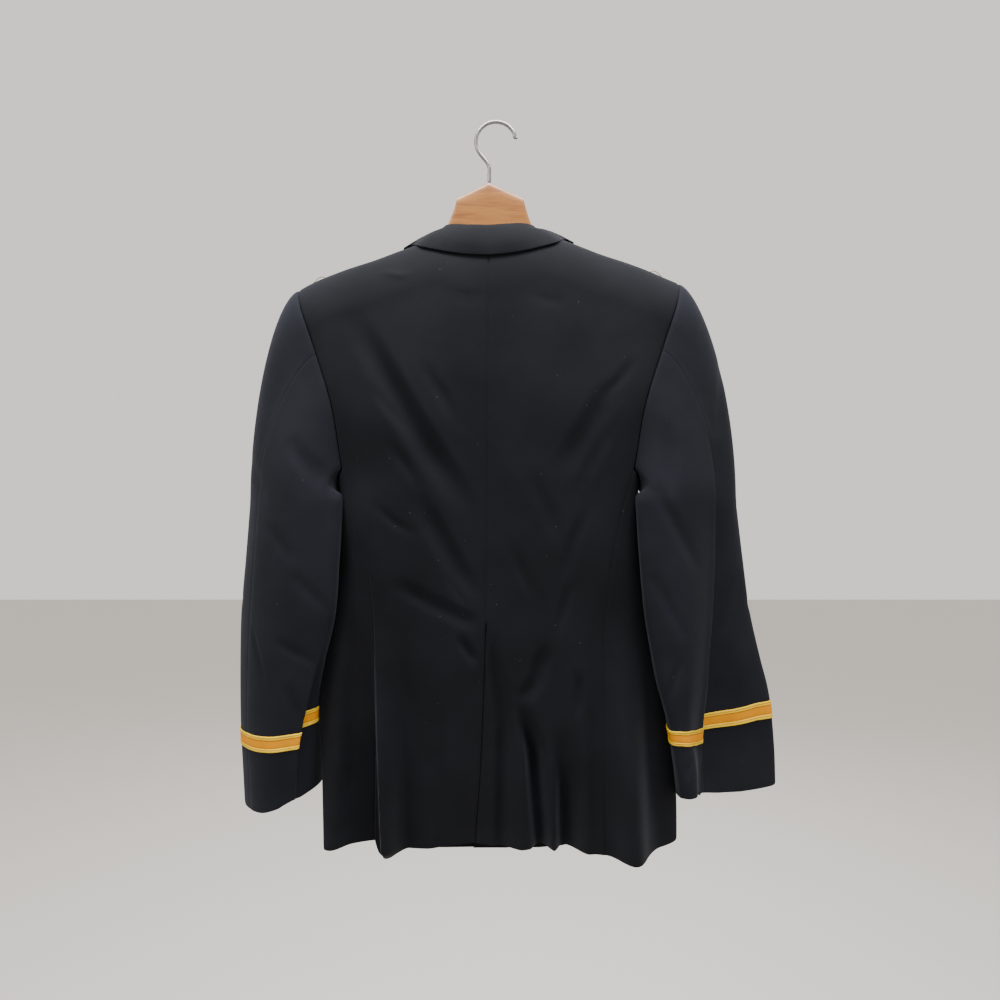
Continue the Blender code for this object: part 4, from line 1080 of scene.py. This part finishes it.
wood_mix = node(wood_tree, "ShaderNodeMixRGB", blend_type="MULTIPLY")
wood_mix.inputs["Fac"].default_value = 0.7
wood_tree.links.new(wood_color, wood_mix.inputs["Color1"])
wood_tree.links.new(wood_dark, wood_mix.inputs["Color2"])
wood_tree.links.new(wood_mix.outputs["Color"], wood_shader.inputs["Base Color"])
bumped(wood_tree, wood_shader, (wood_lines.outputs["Fac"], 0.0004, 0.15))

# %% Hanger board
BOARD_THICK = ((-228, 6), (-205, 8), (-170, 9), (-130, 9), (-100, 9), (-78, 8), (-68, 7), (-60, 6.5),
               (-52, 6.5), (-28, 6.5), (-6, 6.5), (18, 6.5), (36.5, 6.5), (48, 6.5), (57, 7), (68, 8),
               (90, 9), (120, 9), (158, 9), (192, 8), (214, 6))
PLATE_TOP = ((-60, -137), (-55.8, -126.5), (-48.9, -109), (-46, -96.7), (-6.2, -77.4), (36.4, -96.7),
             (39.8, -109), (44.8, -124.7), (49, -136))
along = np.unique(np.concatenate((np.linspace(-228, -60, 60), np.linspace(-60, -44, 34),
                                  np.linspace(-44, 34, 60), np.linspace(34, 48, 34),
                                  np.linspace(48, 214, 60))))
rings = []
for x in along:
    thick = float(np.interp(x, *zip(*BOARD_THICK)))
    sink = 0.9 + 4.5 * math.exp(-((abs(x - CENTRE_X) - 60) / 13) ** 2)
    ridge = float(hermite(RIDGE, np.array(float(x)))[..., 0]) - CLOTH - sink
    top = float(np.interp(x, *zip(*PLATE_TOP))) if -60 <= x <= 48 else ridge
    low = min(-172 - 0.17 * abs(x - CENTRE_X) ** 1.06, ridge - 22)
    corners = [(math.cos(turn), math.sin(turn)) for turn in turns(40, 0.5)]
    rings.append([(x, thick * math.copysign(abs(c) ** 0.42, c),
                   (top + low) / 2 + (top - low) / 2 * math.copysign(abs(up) ** 0.3, up))
                  for c, up in corners])
board = ringed_mesh("wooden_board", rings, wood)
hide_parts("hanger_board")

# %% Hook
HOOK_RADIUS, HOOK_WIRE, HOOK_SHAFT_X = 25.0, 1.9, -5.8
middle = np.array((2.5, 0.0, -HOOK_WIRE - HOOK_RADIUS + 1.4))
corners = [(HOOK_SHAFT_X, 0, -75.6), (HOOK_SHAFT_X, 0, -66), (HOOK_SHAFT_X, 0, -58),
           (HOOK_SHAFT_X - 2.5, 0, -52), (HOOK_SHAFT_X - 8, 0, -45)]
for k in range(19):
    turn = math.radians(214 - k * (214 - 24) / 18)
    corners.append(middle + HOOK_RADIUS * np.array((math.cos(turn), 0, math.sin(turn))))
corners.append(middle + np.array((HOOK_RADIUS - 0.8, 0, 5.2)))
corners.append(middle + np.array((HOOK_RADIUS + 2.4, 0, 5.0)))
corners = np.array(corners, dtype=float)
gone = np.concatenate(([0], np.cumsum(np.linalg.norm(np.diff(corners, axis=0), axis=1))))
line = hermite(np.column_stack((gone, corners)).tolist(), np.linspace(0, gone[-1], 150))
wire = np.full(len(line), HOOK_WIRE + 0.5)
wire[-4:] = HOOK_WIRE * np.array((0.98, 0.9, 0.72, 0.4))
hook = bar("wire_hook", line, wire, steel, sides=20)
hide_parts("hanger_hook")

# %% [markdown]
# ## Floor, light and camera
#
# The jacket hangs in a plain pale studio. One long soft light hangs close
# above the shoulders, so the cloth is lightest there and grows darker towards
# the hem, and the folds show. Weaker lights at the sides keep the shadows soft.
# The lamps themselves stay out of every view.

# %% Floor and pale surroundings
FLOOR = -1.75
floor_mesh = bpy.data.meshes.new("studio_floor")
floor_corners = [(x, y, FLOOR) for x, y in ((-9, -9), (9, -9), (9, 9), (-9, 9))]
floor_mesh.from_pydata(floor_corners, [], [(0, 1, 2, 3)])
floor = bpy.data.objects.new("studio_floor", floor_mesh)
bpy.context.collection.objects.link(floor)
floor_mat, floor_tree, floor_shader = finish("pale_floor", (0.62, 0.60, 0.57), 0.8)
floor_mesh.materials.append(floor_mat)
world = bpy.data.worlds.new("studio")
bpy.context.scene.world = world
world.use_nodes = True
world.node_tree.nodes["Background"].inputs["Color"].default_value = (0.95, 0.905, 0.85, 1)
world.node_tree.nodes["Background"].inputs["Strength"].default_value = 1.12


# %% Lights and camera
def soft_light(name, place, aim, wide, high, power, color=(1, 1, 1)):
    """A rectangular lamp at a place (m), turned towards aim, with its power in watts."""
    lamp = bpy.data.lights.new(name, "AREA")
    lamp.shape, lamp.size, lamp.size_y = "RECTANGLE", wide, high
    lamp.energy, lamp.color = power, color
    made = bpy.data.objects.new(name, lamp)
    made.location = place
    made.visible_camera = False              # it lights the cloth but isn't seen
    made.rotation_euler = (Vector(aim) - Vector(place)).to_track_quat("-Z", "Y").to_euler()
    bpy.context.collection.objects.link(made)


soft_light("window_left", (-1.9, -1.7, 0.7), (0, 0, -0.4), 1.2, 1.2, 22, (1.0, 0.98, 0.95))
soft_light("ceiling", (0.0, -0.36, 0.9), (0, 0, -0.2), 1.5, 0.5, 74)
soft_light("fill_right", (2.0, -1.5, 0.0), (0, 0, -0.5), 1.4, 1.4, 6)
soft_light("far_side", (0.3, 2.4, 0.8), (0, 0, -0.5), 2.0, 1.6, 45)
eye = bpy.data.cameras.new("eye")
eye.lens, eye.sensor_width, eye.sensor_fit = 28.0, 36.0, "HORIZONTAL"
camera = bpy.data.objects.new("camera", eye)
camera.location = (0.0075, -0.972, -0.473)
camera.rotation_euler = (math.radians(90), 0, 0)
bpy.context.collection.objects.link(camera)
bpy.context.scene.camera = camera
